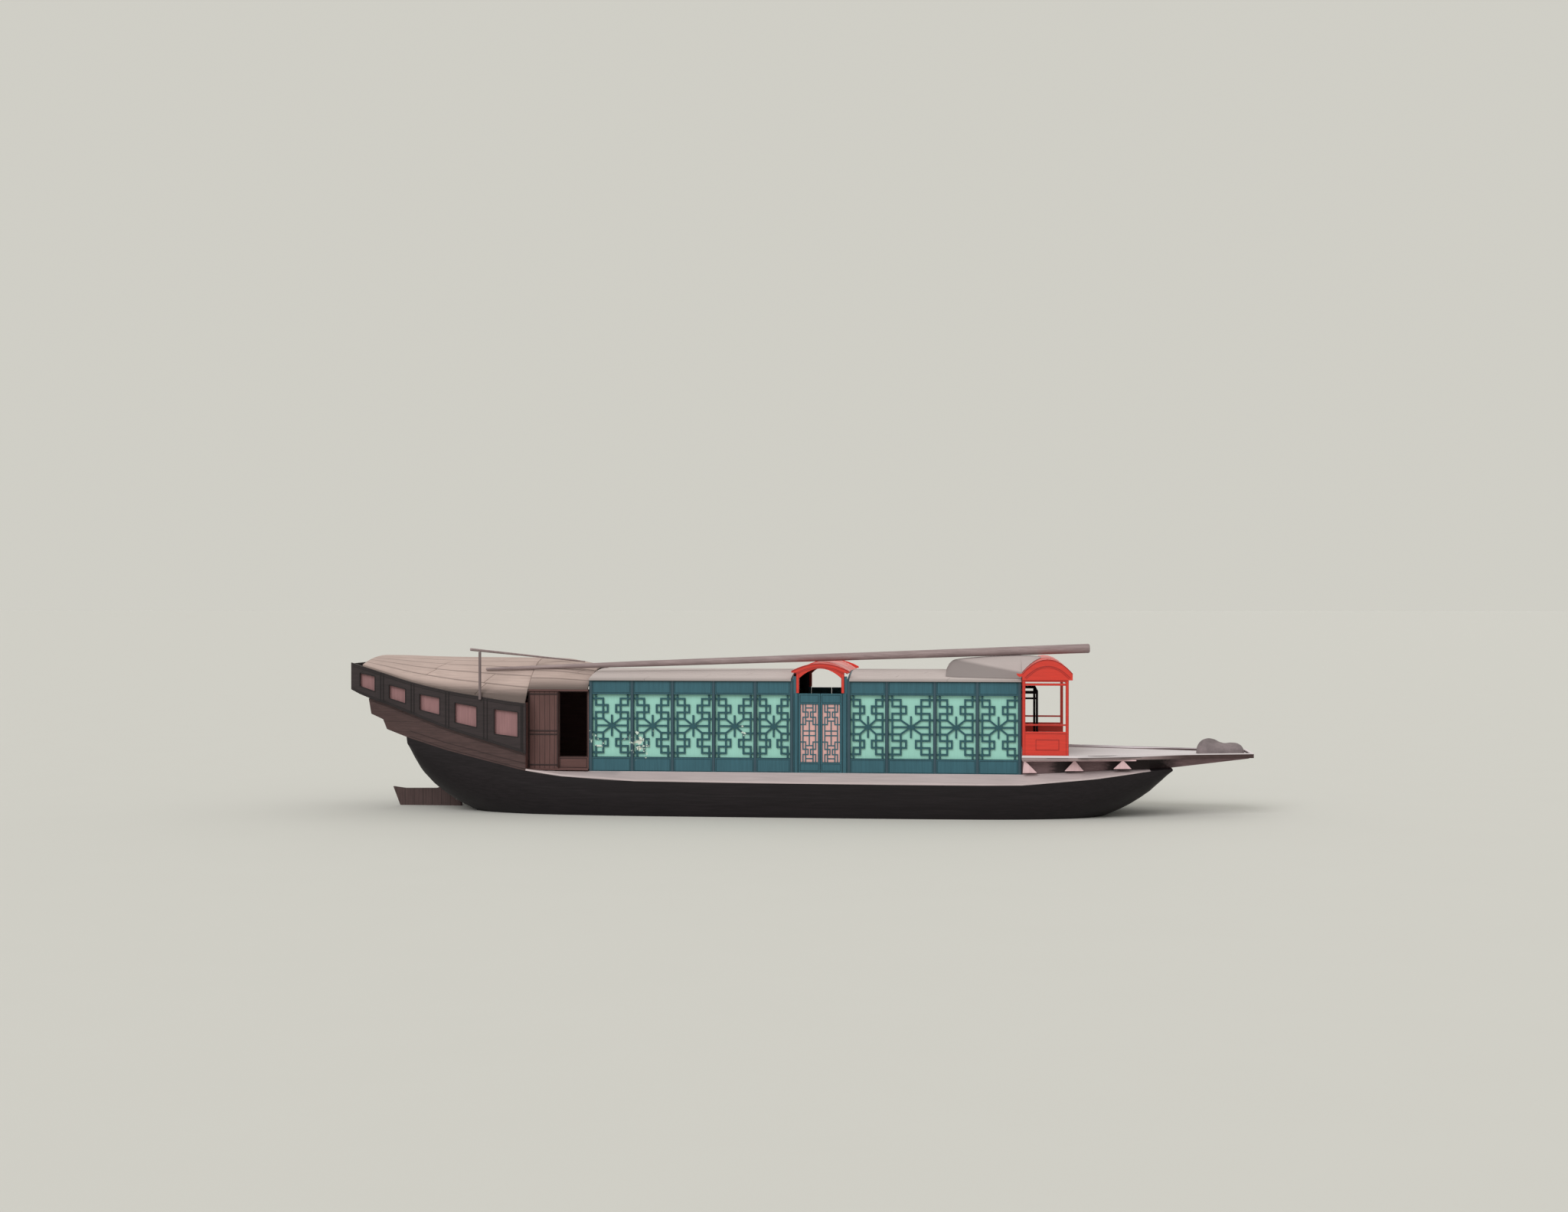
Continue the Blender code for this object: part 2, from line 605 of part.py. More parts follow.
def build_gate(paints):
    """Jambs, lattice leaves, red arches and the cross vault of the middle gate."""
    low, high = GATE_X[0] + GAP, GATE_X[1] - GAP
    inner = WALL_Y - WALL_THICK
    jambs = (low + GATE_JAMB, high - GATE_JAMB)
    middle = (low + high) / 2.0
    leaf_bottom = GATE_SILL_TOP + GAP
    frame_x = [low, jambs[0], jambs[0] + GATE_PAD_LONG, jambs[1] - GATE_PAD_LONG, jambs[1], high]
    frame_z = [DECK_Z + GAP, GATE_SILL_TOP - GATE_PAD_HIGH, GATE_SILL_TOP, GATE_POST_Z[0] - GAP]
    for side, sign in SIDES:
        add_screen(f"gate_frame_{side}", frame_x, frame_z, {(2, 1), (1, 2), (2, 2), (3, 2)},
                   (sign * WALL_Y, sign * inner), paints["teal"])
        for label, hinge, free in (
                ("aft", jambs[0] + GATE_LEAF_CLEAR, middle - GATE_LEAF_GAP / 2.0),
                ("fore", jambs[1] - GATE_LEAF_CLEAR, middle + GATE_LEAF_GAP / 2.0)):
            step = math.copysign(GATE_STILE, free - hinge)
            xs = sorted((hinge, hinge + step, free - step, free))
            zs = (leaf_bottom, *GATE_PANEL_Z, GATE_LEAF_TOP)
            add_leaf(f"gate_leaf_{label}_{side}", xs, zs, sign, paints["pink"],
                     (hinge, sign * (WALL_Y - GATE_LEAF_THICK), leaf_bottom))
        add_gate_arch(f"gate_arch_{side}", sign, paints["red"])
    top, under = arch_outline((low, high), GATE_EAVE, GATE_CROWN - GAP, ROOF_THICK)
    inside = WALL_Y - WALL_THICK - GAP
    add_outline("gate_vault", top + under[::-1], (-inside, inside), paints["red"])
    cuts = (PARTITION_X, (-inside, -PARTITION_DOOR_HALF, PARTITION_DOOR_HALF, inside),
            (DECK_Z + SOLE_THICK + GAP, PARTITION_DOOR_TOP, PARTITION_TOP))
    add_blocks("gate_partition_aft", cuts, lambda i, k, j: (k, j) != (1, 0), paints["black"])


def add_leaf(name, xs, zs, sign, material, origin):
    """A door leaf: stiles and rails around a thin panel with fretwork on its face."""
    panel_x, panel_z = xs[1:3], zs[1:3]
    solid = (rectangle((xs[0], xs[3]), zs[:2]), rectangle((xs[0], xs[3]), zs[2:]),
             rectangle(xs[:2], panel_z), rectangle(xs[2:], panel_z))
    regions = [(outline, 0.0, GATE_LEAF_THICK) for outline in solid]
    regions.append((rectangle(panel_x, panel_z), *GATE_PANEL_DEPTHS))
    regions += [(stroke, LEAF_FRET_DEPTH, GATE_PANEL_DEPTHS[1])
                for stroke in fret_strokes(LEAF_FRET, panel_x, panel_z, LEAF_FRET_HALF)]
    return add_relief(name, regions, sign, material, origin)


def add_gate_arch(name, sign, material):
    """Two short posts under a curved board with upturned tips."""
    low, high = GATE_X[0] + GAP, GATE_X[1] - GAP
    faces = (sign * (WALL_Y + 0.02), sign * (WALL_Y - WALL_THICK))
    top, _ = arch_outline((low - GATE_TIP, high + GATE_TIP), GATE_EAVE + 0.035, GATE_CROWN, 0.0)
    post_in = (low + GATE_POST_WIDTH + 0.06, high - GATE_POST_WIDTH - 0.06)
    post_out = (low + 0.06, high - 0.06)
    _, under = arch_outline(post_in, GATE_POST_Z[1], GATE_CROWN, GATE_BOARD_DEEP)
    inside = [(post_in[0], GATE_POST_Z[0])] + under + [(post_in[1], GATE_POST_Z[0])]
    tip_low = GATE_EAVE - 0.005
    outline = top + [(high + GATE_TIP, tip_low), (post_out[1], tip_low),
                     (post_out[1], GATE_POST_Z[0])]
    outline += inside[::-1]
    outline += [(post_out[0], GATE_POST_Z[0]), (post_out[0], tip_low), (low - GATE_TIP, tip_low)]
    return add_outline(name, outline, faces, material)


def build_roofs(paints):
    """Cabin roof in two lengths, the hood over its fore end and the vaulted aft roof."""
    half = WALL_Y + ROOF_OVERHANG
    eave = seated_eave(half, WALL_Y, WALL_TOP + GAP + ROOF_THICK, CABIN_CROWN, CAMBER_STEPS)
    lengths = (("aft", WALL_AFT_X, GATE_X[0] - GATE_TIP - 0.003),
               ("fore", GATE_X[1] + GATE_TIP + 0.003, WALL_FORE_X))
    for label, start, end in lengths:
        sections = [vault_section(x, half, eave, CABIN_CROWN, ROOF_THICK, CAMBER_STEPS)
                    for x in (start, end)]
        add_loft(f"cabin_roof_{label}", sections, paints["roof"])
    build_hood(paints, half, eave)
    build_aft_roof(paints)


def build_hood(paints, half, eave):
    """Raised grey hood that lies on the cabin roof and laps over the arch of the portico."""
    roof = camber(half, eave, CABIN_CROWN, CAMBER_STEPS)
    crest_x, _, crest_width = HOOD[-1]
    facet_y = half / CAMBER_STEPS
    crest = mast_underside(crest_x) - GAP - along(roof, facet_y) - GAP
    fall = (facet_y / crest_width) ** HOOD_ROUNDNESS
    full_rise = (crest - HOOD_LIP * fall) / (1.0 - fall)
    sections = []
    for x, share, width in HOOD:
        rise = full_rise * share
        ys = [-width] + [y for y, _ in roof[1:-1]] + [width]
        rest = [(y, along(roof, y) + GAP) for y in ys]
        top = [(y, z + HOOD_LIP + (rise - HOOD_LIP) * (1.0 - (abs(y) / width) ** HOOD_ROUNDNESS))
               for y, z in rest]
        sections.append([(x, y, z) for y, z in top] + [(x, y, z) for y, z in reversed(rest)])
    arch, _ = arch_outline(PORTICO_TIP_X, PORTICO_EAVE, PORTICO_CROWN, 0.0)
    for x, rise, width in HOOD_FORE:
        seat = along(arch, x) + GAP
        crown = camber(width, seat + HOOD_LIP, seat + rise, CAMBER_STEPS, HOOD_ROUNDNESS)
        sections.append([(x, y, z) for y, z in crown] + [(x, y, seat) for y, _ in crown[::-1]])
    add_loft("fore_hood", sections, paints["grey"])


def build_aft_roof(paints):
    """Vault over the gallery and the aft doorway, its eaves falling forward."""
    over_gallery = [row[0] for row in GALLERY if AFT_ROOF_X[0] < row[0] < AFT_ROOF_X[1]]
    over_gallery = [AFT_ROOF_X[0]] + over_gallery + [AFT_ROOF_X[1]]
    over_doors = [x for x, _ in AFT_CROWN if x > AFT_ROOF_X[1]]
    sections = []
    for x in over_gallery + over_doors:
        if x <= AFT_ROOF_X[1]:
            half, seat = gallery_y(x), along(GALLERY, x, GALLERY_TOP)
        else:
            half, seat = AFT_LEDGE_OUT, AFT_LIP_Z[1]
        sections.append(vault_section(x, half, seat + GAP + ROOF_THICK, along(AFT_CROWN, x),
                                      ROOF_THICK, AFT_STEPS, AFT_ROUNDNESS))
    add_loft("aft_roof", sections, paints["roof"])


def gallery_levels(row):
    """Heights of the gallery wall at a row: bottom, window sill, window head, top."""
    bottom, top = row[GALLERY_BOTTOM], row[GALLERY_TOP]
    return (bottom, bottom + row[GALLERY_SILL], top - row[GALLERY_HEAD], top)


def build_gallery(paints):
    """Dark window walls, their panes and the brown bands below them."""
    last = len(GALLERY) - 1
    holes = {(column, 1) for column in range(1, last, 2)}
    for side, sign in SIDES:
        def place(i, j, face, sign=sign):
            x = GALLERY[i][0]
            return (x, sign * (gallery_y(x) - face * GALLERY_THICK), gallery_levels(GALLERY[i])[j])

        def place_pane(i, j, face, sign=sign):
            row = GALLERY[i + 1]
            x = row[0]
            _, sill, head, _ = gallery_levels(row)
            y = gallery_y(x) - GALLERY_THICK - GAP - face * PANE_THICK
            return (x, sign * y, (sill - PANE_LAP, head + PANE_LAP)[j])

        add_cells(f"gallery_wall_{side}", last, 3,
                  lambda i, j: (i, j) not in holes, place, paints["dark"])
        add_cells(f"gallery_panes_{side}", last - 2, 1,
                  lambda i, j: True, place_pane, paints["rose"])
        build_band(side, sign, paints["brown"])
    inner = BAND_INSET + BAND_THICK + GAP
    add_outline("stern_counter", COUNTER,
                (lambda x: -(gallery_y(x) - inner), lambda x: gallery_y(x) - inner),
                paints["brown"])
    add_outline("transom", TRANSOM, (lambda x: -(gallery_y(x) - GALLERY_THICK - GAP),
                                     lambda x: gallery_y(x) - GALLERY_THICK - GAP), paints["dark"])


def build_band(side, sign, material):
    """Brown planking between the gallery wall and the hull, stepped at its after end."""
    over = [row[0] for row in GALLERY if BAND_STEPS[0][0] < row[0] < BAND_END_X] + [BAND_END_X]
    top = [(x, along(GALLERY, x, GALLERY_BOTTOM) - GAP) for x in over]
    below = [row[0] for row in HULL if BAND_STEPS[-1][0] < row[0] < BAND_END_X] + [BAND_END_X]
    seat = [(x, along(HULL, x, HULL_SHEER) + GAP) for x in below]
    outline = list(BAND_STEPS) + seat + top[::-1]
    add_outline(f"quarter_band_{side}", outline,
                (lambda x: sign * (gallery_y(x) - BAND_INSET),
                 lambda x: sign * (gallery_y(x) - BAND_INSET - BAND_THICK)), material)


def build_aft_doors(paints):
    """Brown door frames with a ledge and a lip, and the sliding doors outside them."""
    xs = [AFT_FRAME_X[0], AFT_OPEN_X[0], AFT_OPEN_X[1], AFT_FRAME_X[1]]
    zs = [DECK_Z + GAP, AFT_LEDGE_Z[0], AFT_LEDGE_Z[1], AFT_OPEN_Z[0], AFT_OPEN_Z[1],
          AFT_LIP_Z[0], AFT_LIP_Z[1]]
    for side, sign in SIDES:
        build_door_frame(side, sign, xs, zs, paints["brown"])
        low, high = sorted((sign * AFT_DOOR_Y[0], sign * AFT_DOOR_Y[1]))
        add_box(f"aft_door_{side}", (AFT_DOOR_X[0], low, AFT_DOOR_Z[0]),
                (AFT_DOOR_X[1], high, AFT_DOOR_Z[1]), paints["brown"],
                (AFT_DOOR_X[0], sign * AFT_DOOR_Y[0], AFT_DOOR_Z[0]))


def build_door_frame(side, sign, xs, zs, material):
    """Frame in the wall's plane; its ledge and lip reach out below and above the door."""
    ys = [sign * y for y in (WALL_Y - WALL_THICK, WALL_Y, AFT_LEDGE_OUT)]

    def solid(i, k, j):
        if k == 0:
            return (i, j) != (1, 3)
        return j in (1, 5)

    add_blocks(f"aft_door_frame_{side}", (xs, ys, zs), solid, material)


def build_foredeck(paints):
    """Deck plate, its edge boards, the coaming below and the knees at its sides."""
    inset = EDGE_THICK + GAP
    low, high = FOREDECK_Z
    sections = [[(x, inset - w, low), (x, w - inset, low), (x, w - inset, high),
                 (x, inset - w, high)] for x, w in FOREDECK]
    add_loft("foredeck", sections, paints["pale"], smooth=False)
    for side, sign in SIDES:
        sections = [[(x, sign * (w - EDGE_THICK), EDGE_Z[0]), (x, sign * w, EDGE_Z[0]),
                     (x, sign * w, EDGE_Z[1]), (x, sign * (w - EDGE_THICK), EDGE_Z[1])]
                    for x, w in FOREDECK]
        add_loft(f"foredeck_edge_{side}", sections, paints["pale"], smooth=False)
    tip_x, tip_w = FOREDECK[-1]
    add_box("foredeck_end_board", (tip_x + GAP, -tip_w, EDGE_Z[0]),
            (tip_x + EDGE_THICK, tip_w, EDGE_Z[1]), paints["pale"])
    build_coaming(paints)
    build_knees(paints)


def build_coaming(paints):
    """Recessed dark body between the hull and the foredeck, running out to the tip."""
    sections = []
    start = BULKHEAD_X[1] + 0.02
    xs = [start] + [row[0] for row in HULL if row[0] > start] + [COAMING_TIP[0]]
    for x in xs:
        if x <= HULL[-1][0]:
            bottom = along(HULL, x, HULL_DECK) + GAP
            half = along(HULL, x, HULL_BREADTH) - SHOULDER_WIDTH - COAMING_INSET
        else:
            bottom = COAMING_TIP[1]
            half = along(FOREDECK, x) - EDGE_THICK - COAMING_INSET
        top = FOREDECK_Z[0] - GAP
        sections.append([(x, -half, bottom), (x, half, bottom), (x, half, top), (x, -half, top)])
    add_loft("fore_coaming", sections, paints["brown"], smooth=False)


def build_knees(paints):
    """Three pointed knees a side under the deck edge, joined by their cleat."""
    start = KNEES[0][0] - KNEE_TIP / 4.0
    end = KNEES[-1][2] + 0.10
    cleat_top = EDGE_Z[0] - GAP
    outline = [(start, cleat_top), (start, KNEES[0][4])]
    for aft, peak, fore, foot, tip in KNEES:
        outline += [(peak - KNEE_TIP, tip), (aft, foot), (fore, foot), (peak + KNEE_TIP, tip)]
    outline += [(end, KNEES[-1][4]), (end, cleat_top)]
    for side, sign in SIDES:
        def outer(x, sign=sign):
            return sign * (KNEE_OUT - KNEE_SLANT * max(0.0, x - start))

        def inner(x, sign=sign):
            return sign * (KNEE_OUT - KNEE_THICK - KNEE_SLANT * max(0.0, x - start))

        add_outline(f"deck_knees_{side}", outline, (outer, inner), paints["pale"])


def build_portico(paints):
    """Red side screens, arched roof, front rail, and the cabin's front bulkhead."""
    xs = [PORTICO_X[0], PORTICO_X[0] + PORTICO_POST, PORTICO_X[1] - PORTICO_POST, PORTICO_X[1]]
    zs = [level for rail in PORTICO_RAILS for level in rail]
    openings = {(1, 1), (1, 3), (1, 5)}
    for side, sign in SIDES:
        add_screen(f"portico_screen_{side}", xs, zs, openings,
                   (sign * PORTICO_Y, sign * (PORTICO_Y - PORTICO_THICK)), paints["red"])
    build_portico_roof(paints)
    inside = PORTICO_Y - PORTICO_THICK - GAP
    add_box("portico_front_rail", (xs[2] + 0.010, -inside, PORTICO_FRONT_RAIL[0]),
            (xs[3] - 0.005, inside, PORTICO_FRONT_RAIL[1]), paints["red"])
    head = WALL_TOP - 0.002
    half = WALL_Y - WALL_THICK - PANE_THICK - 0.003
    place_y = [-half, -DOORWAY_Y, DOORWAY_Y, half]
    place_z = [DECK_Z + GAP, DOORWAY_Z[0], DOORWAY_Z[1], head]

    def place(i, j, side):
        return (BULKHEAD_X[side], place_y[i], place_z[j])

    add_cells("front_bulkhead", 3, 3, lambda i, j: (i, j) != (1, 1), place, paints["teal"])
    cuts = ((BULKHEAD_X[1] + GAP, *PORTAL_X),
            (-PORTAL_Y[1], -PORTAL_Y[0], PORTAL_Y[0], PORTAL_Y[1]),
            (FOREDECK_Z[1] + GAP, *PORTAL_Z))

    def solid(i, k, j):
        if i == 1:
            return k != 1 or j == 3
        return k != 1 and j in (1, 3)

    add_blocks("front_doorway", cuts, solid, paints["black"])


def build_portico_roof(paints):
    """Arched roof across the boat, closed by a solid gable board at each side."""
    top, under = arch_outline(PORTICO_TIP_X, PORTICO_EAVE, PORTICO_CROWN, ROOF_THICK)
    gable = PORTICO_THICK + 0.02
    sections = []
    solid = [(x, PORTICO_HEAD_Z) for x, _ in under[::-1]]
    shell = under[::-1]
    solid[0] = (PORTICO_TIP_X[1], PORTICO_HEAD_Z)
    edges = (-PORTICO_Y - 0.02, -PORTICO_Y + gable, PORTICO_Y - gable, PORTICO_Y + 0.02)
    rings = ((edges[0], solid), (edges[1], solid), (edges[1] + GAP, shell),
             (edges[2] - GAP, shell), (edges[2], solid), (edges[3], solid))
    for y, low in rings:
        sections.append([(x, y, z) for x, z in top + low])
    add_loft("portico_roof", sections, paints["red"], smooth=False)


def build_spars(paints):
    """Mast laid along the roof, and the light boom with its post at the quarter."""
    add_spar("mast", (MAST_AFT, MAST_FORE), MAST_TAPER, paints["spar"])
    add_spar("boom", (BOOM_AFT, BOOM_FORE), ((0.0, BOOM_RADII[0]), (1.0, BOOM_RADII[1])),
             paints["spar"], sides=10)
    post_y = -(gallery_y(POST_X) + POST_RADIUS + GAP)
    reach = math.dist(BOOM_AFT[:2], BOOM_FORE[:2])
    ahead = [(BOOM_FORE[k] - BOOM_AFT[k]) / reach for k in range(2)]
    past = (POST_X - BOOM_AFT[0]) * ahead[0] + (post_y - BOOM_AFT[1]) * ahead[1] + POST_RADIUS
    share = past / reach
    steep = (BOOM_AFT[2] - BOOM_FORE[2]) / reach
    boom_radius = BOOM_RADII[0] + share * (BOOM_RADII[1] - BOOM_RADII[0])
    top_z = BOOM_AFT[2] - past * steep - boom_radius * math.hypot(1.0, steep) - GAP
    turns = [math.tau * k / 10 + math.pi / 2.0 for k in range(10)]
    sections = [[(POST_X + POST_RADIUS * math.cos(turn), post_y + POST_RADIUS * math.sin(turn), z)
                 for turn in turns]
                for z in (along(GALLERY, POST_X, GALLERY_TOP) - POST_FOOT_BELOW, top_z)]
    add_loft("boom_post", sections, paints["spar"])


def build_rudder(paints):
    """Deep blade on a stock that turns in its trunk, hung by a collar on the head block."""
    origin = (STOCK_X, 0.0, 0.0)
    add_outline("rudder_blade", BLADE, (-BLADE_THICK / 2.0, BLADE_THICK / 2.0),
                paints["rudder"], origin)
    low, neck = STOCK_Z
    # Columns: z, radius, share of the round section against the square one
    rings = ((low, STOCK_RADIUS, 0.0), (neck - 0.03, STOCK_RADIUS, 0.0),
             (neck, STOCK_RADIUS, 1.0), (COLLAR_Z[0], STOCK_RADIUS, 1.0),
             (COLLAR_Z[0], COLLAR_RADIUS, 1.0), (COLLAR_Z[1], COLLAR_RADIUS, 1.0),
             (COLLAR_Z[1], STOCK_RADIUS, 1.0), (STOCK_HEAD_Z, STOCK_RADIUS, 1.0))
    sections = []
    for z, radius, round_share in rings:
        ring = []
        for k in range(STOCK_SIDES):
            turn = math.tau * (k + 0.5) / STOCK_SIDES
            c, s = math.cos(turn), math.sin(turn)
            reach = max(abs(c), abs(s))
            square = (STOCK_HALF[0] * c / reach, STOCK_HALF[1] * s / reach)
            disc = (radius * c, radius * s)
            ring.append((STOCK_X + square[0] + round_share * (disc[0] - square[0]),
                         square[1] + round_share * (disc[1] - square[1]), z))
        sections.append(ring)
    add_loft("rudder_stock", sections, paints["rudder"], origin, smooth=False)
    flat = STOCK_RADIUS * math.cos(math.pi / STOCK_SIDES)
    add_box("tiller", (STOCK_X + flat + GAP, -TILLER_HALF, TILLER_Z[0]),
            (STOCK_X + TILLER_REACH, TILLER_HALF, TILLER_Z[1]), paints["spar"], origin)
    seat = [(x, along(HULL, x, HULL_DECK) + GAP) for x in HEAD_BLOCK_X]
    outline = seat + [(HEAD_BLOCK_X[1], HEAD_BLOCK_TOP), (HEAD_BLOCK_X[0], HEAD_BLOCK_TOP)]
    block = add_outline("rudder_head_block", outline, (-HEAD_BLOCK_HALF, HEAD_BLOCK_HALF),
                        paints["brown"])
    cut_trunk(block)


def cut_trunk(obj):
    """Open the round trunk of the rudder stock through a solid."""
    cut = obj.modifiers.new("rudder_trunk", "BOOLEAN")
    cut.operation = "DIFFERENCE"
    cut.object = bpy.data.objects["trunk_cutter"]
    cut.solver = "EXACT"


def build_stones(paints):
    """The grey two-humped heap on the fore end of the deck."""
    sections = []
    base = FOREDECK_Z[1] + GAP
    for x, rise, width in STONES:
        ring = []
        for step in range(STONE_STEPS + 1):
            turn = math.pi * step / STONE_STEPS
            ring.append((x, -width * math.cos(turn), base + rise * math.sin(turn) ** 0.8))
        sections.append(ring)
    add_loft("anchor_stones", sections, paints["stone"])


def build():
    """Build every piece of the boat."""
    clear_scene()
    colours = {
        "hull": ((0.026, 0.019, 0.021), 0.55),
        "brown": ((0.102, 0.058, 0.054), 0.60),
        "dark": ((0.034, 0.027, 0.028), 0.55),
        "rose": ((0.305, 0.171, 0.171), 0.60),
        "roof": ((0.485, 0.376, 0.342), 0.80),
        "grey": ((0.305, 0.271, 0.271), 0.80),
        "teal": ((0.042, 0.114, 0.141), 0.50),
        "mint": ((0.352, 0.645, 0.515), 0.60),
        "pink": ((0.730, 0.456, 0.429), 0.55),
        "red": ((0.679, 0.053, 0.032), 0.45),
        "pale": ((0.680, 0.578, 0.578), 0.65),
        "spar": ((0.376, 0.296, 0.285), 0.60),
        "rudder": ((0.102, 0.065, 0.061), 0.60),
        "stone": ((0.205, 0.171, 0.181), 0.85),
        "black": ((0.012, 0.011, 0.012), 0.50),
    }
    paints = {key: make_material(key, *value) for key, value in colours.items()}
    build_hull(paints)
    build_side_decks(paints)
    build_sole(paints)
    build_cabin_walls(paints)
    build_gate(paints)
    build_roofs(paints)
    build_gallery(paints)
    build_aft_doors(paints)
    build_foredeck(paints)
    build_portico(paints)
    build_spars(paints)
    build_rudder(paints)
    build_stones(paints)


build()
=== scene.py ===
"""Looks of the river junk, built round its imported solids.

Metres, +X to the bow, +Y to port, +Z up, with the water at z = 0.
"""
import math

import bmesh
import bpy
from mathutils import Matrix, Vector


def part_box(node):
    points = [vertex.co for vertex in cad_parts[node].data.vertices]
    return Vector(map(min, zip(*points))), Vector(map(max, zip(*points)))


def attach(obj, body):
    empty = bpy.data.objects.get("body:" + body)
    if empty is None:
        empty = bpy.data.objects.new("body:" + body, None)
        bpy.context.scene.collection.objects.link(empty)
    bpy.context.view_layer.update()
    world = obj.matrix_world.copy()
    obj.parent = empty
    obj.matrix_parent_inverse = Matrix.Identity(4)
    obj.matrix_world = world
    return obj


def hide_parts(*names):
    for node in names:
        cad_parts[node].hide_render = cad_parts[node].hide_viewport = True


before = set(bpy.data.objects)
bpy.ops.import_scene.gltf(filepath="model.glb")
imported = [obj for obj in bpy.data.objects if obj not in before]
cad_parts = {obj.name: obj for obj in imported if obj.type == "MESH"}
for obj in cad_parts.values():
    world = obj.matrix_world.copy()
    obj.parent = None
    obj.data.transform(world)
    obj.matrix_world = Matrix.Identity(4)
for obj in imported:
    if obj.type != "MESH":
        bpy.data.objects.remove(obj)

SIDES = (("starboard", -1.0), ("port", 1.0))

# Hull: x, centreline bottom z, half breadth at the sheer, sheer z, deck z inboard
HULL = (
    (-7.68, 1.30, 1.661, 1.651, 1.651), (-7.56, 0.98, 1.672, 1.613, 1.613),
    (-7.42, 0.70, 1.684, 1.571, 1.571),
    (-7.18, 0.44, 1.705, 1.499, 1.499), (-6.76, 0.14, 1.742, 1.375, 1.375),
    (-6.20, -0.12, 1.791, 1.238, 1.238), (-5.20, -0.42, 1.880, 1.000, 1.000),
    (-4.99, -0.47, 1.893, 0.957, 0.900), (-4.20, -0.60, 1.930, 0.845, 0.900),
    (-2.60, -0.72, 1.980, 0.758, 0.900), (0.00, -0.75, 2.000, 0.740, 0.900),
    (3.00, -0.75, 2.000, 0.730, 0.900), (4.80, -0.66, 1.970, 0.729, 0.900),
    (5.64, -0.54, 1.920, 0.735, 0.900), (6.40, -0.36, 1.830, 0.796, 0.932),
    (7.20, -0.11, 1.680, 0.860, 0.965), (7.80, 0.13, 1.500, 0.934, 0.992),
    (8.36, 0.48, 1.290, 1.005, 1.018), (8.84, 0.95, 1.080, 1.030, 1.040),
)
BILGE_FULLNESS = 2.7
STRAKES = 11
SEAM = 0.0015
# The covering board starts here, and its tip lies just past its last station
COVERING_X = (-4.99, 8.36)
COVERING_TIP = 8.40
# Stern gallery wall: x, bottom z, top z, window sill above the bottom, head below the top
GALLERY = (
    (-8.940, 2.680, 3.267, 0.170, 0.150),
    (-8.740, 2.580, 3.205, 0.170, 0.160), (-8.390, 2.442, 3.097, 0.190, 0.125),
    (-8.070, 2.340, 2.999, 0.150, 0.210), (-7.690, 2.198, 2.883, 0.180, 0.185),
    (-7.370, 2.077, 2.800, 0.170, 0.205), (-6.910, 1.902, 2.700, 0.235, 0.185),
    (-6.570, 1.792, 2.635, 0.190, 0.220), (-6.070, 1.645, 2.559, 0.230, 0.225),
    (-5.680, 1.531, 2.496, 0.210, 0.210), (-5.144, 1.373, 2.425, 0.305, 0.200),
    (-4.970, 1.321, 2.407, 0.305, 0.200),
)
# Half width of the gallery at its stern end, and its gain with each metre forward
GALLERY_HALF = 1.600
GALLERY_FLARE = 0.350 / 3.970
# Board that closes the gallery's fore end: x, outboard, z
GALLERY_END = ((-5.000, -4.985), (1.500, 1.888), (0.980, 2.420))
CABIN_FRONT = 5.640
WALL_Y = 1.600
WALL_TOP = 2.920
DECK_Z = 0.900
WINDOW_Z = (1.250, 2.600)
MULLION = 0.075
RUNS = (("aft", -3.655, 0.785, (-2.712, -1.834, -0.939, -0.040)),
        ("fore", 1.935, 5.635, (2.784, 3.805, 4.704)))
GATE_X = (0.785, 1.935)
LEAVES = (("aft", 0.8963, 1.355), ("fore", 1.365, 1.8237))
LEAF_PANEL_Z = (1.165, 2.405)
LEAF_STILE = 0.040

# Fretwork in the windows and the leaves: how far its face lies below the wall's
FRET_FACE = 0.035
PANEL_FACE = 0.012


# Crown of the after roof: x, z
AFT_CROWN = (
    (-8.68, 3.390), (-8.20, 3.386), (-7.54, 3.365), (-6.71, 3.350), (-4.97, 3.343),
    (-4.50, 3.325), (-4.05, 3.250), (-3.665, 3.170),
)
CABIN_CROWN = 3.110
CABIN_EAVE = 2.9353
CABIN_ROOF_HALF = 1.655
CABIN_ROOFS = (("aft", -3.655, 0.737), ("fore", 1.983, 5.635))
AFT_ROOF_X = (-8.680, -4.985)
DOOR_ROOF_X = (-4.980, -3.665)
DOOR_ROOF_HALF = 1.690
DOOR_ROOF_EAVE = 2.7403
AFT_COURSES = 12
BOARD_THICK = 0.036
# Butt joints of the roof boards, course by course from the eave
AFT_JOINTS = ((-6.02,), (-7.22, -5.90), (-7.10,), (-8.10, -6.95), (-7.55, -5.75), (-6.40,))
DOOR_JOINTS = ((), (), (-3.95,), (), (-4.30,), ())
CABIN_JOINTS = ((-2.4, 4.1), (-1.1, 3.0), (-0.2, 4.8), (-2.9, 3.6))
# Hood: x, share of its full rise, half width
HOOD = ((4.03, 0.09, 1.33), (4.08, 0.40, 1.36), (4.20, 0.68, 1.40), (4.60, 0.84, 1.45),
        (5.10, 0.94, 1.50), (5.56, 0.99, 1.53), (5.6353, 1.00, 1.53))
# Line of the hood's fold, where the painted shade on its side begins: its height at x = 0 and its fall
# with each metre forward
HOOD_SHADE_LINE = (4.083, 0.1752)
# Its fore end over the portico: x, height over the arch, half width
HOOD_FORE = ((5.6497, 0.335, 1.45), (5.7555, 0.225, 1.30), (5.8610, 0.140, 1.10),
             (5.9665, 0.070, 0.85), (6.0720, 0.022, 0.50))
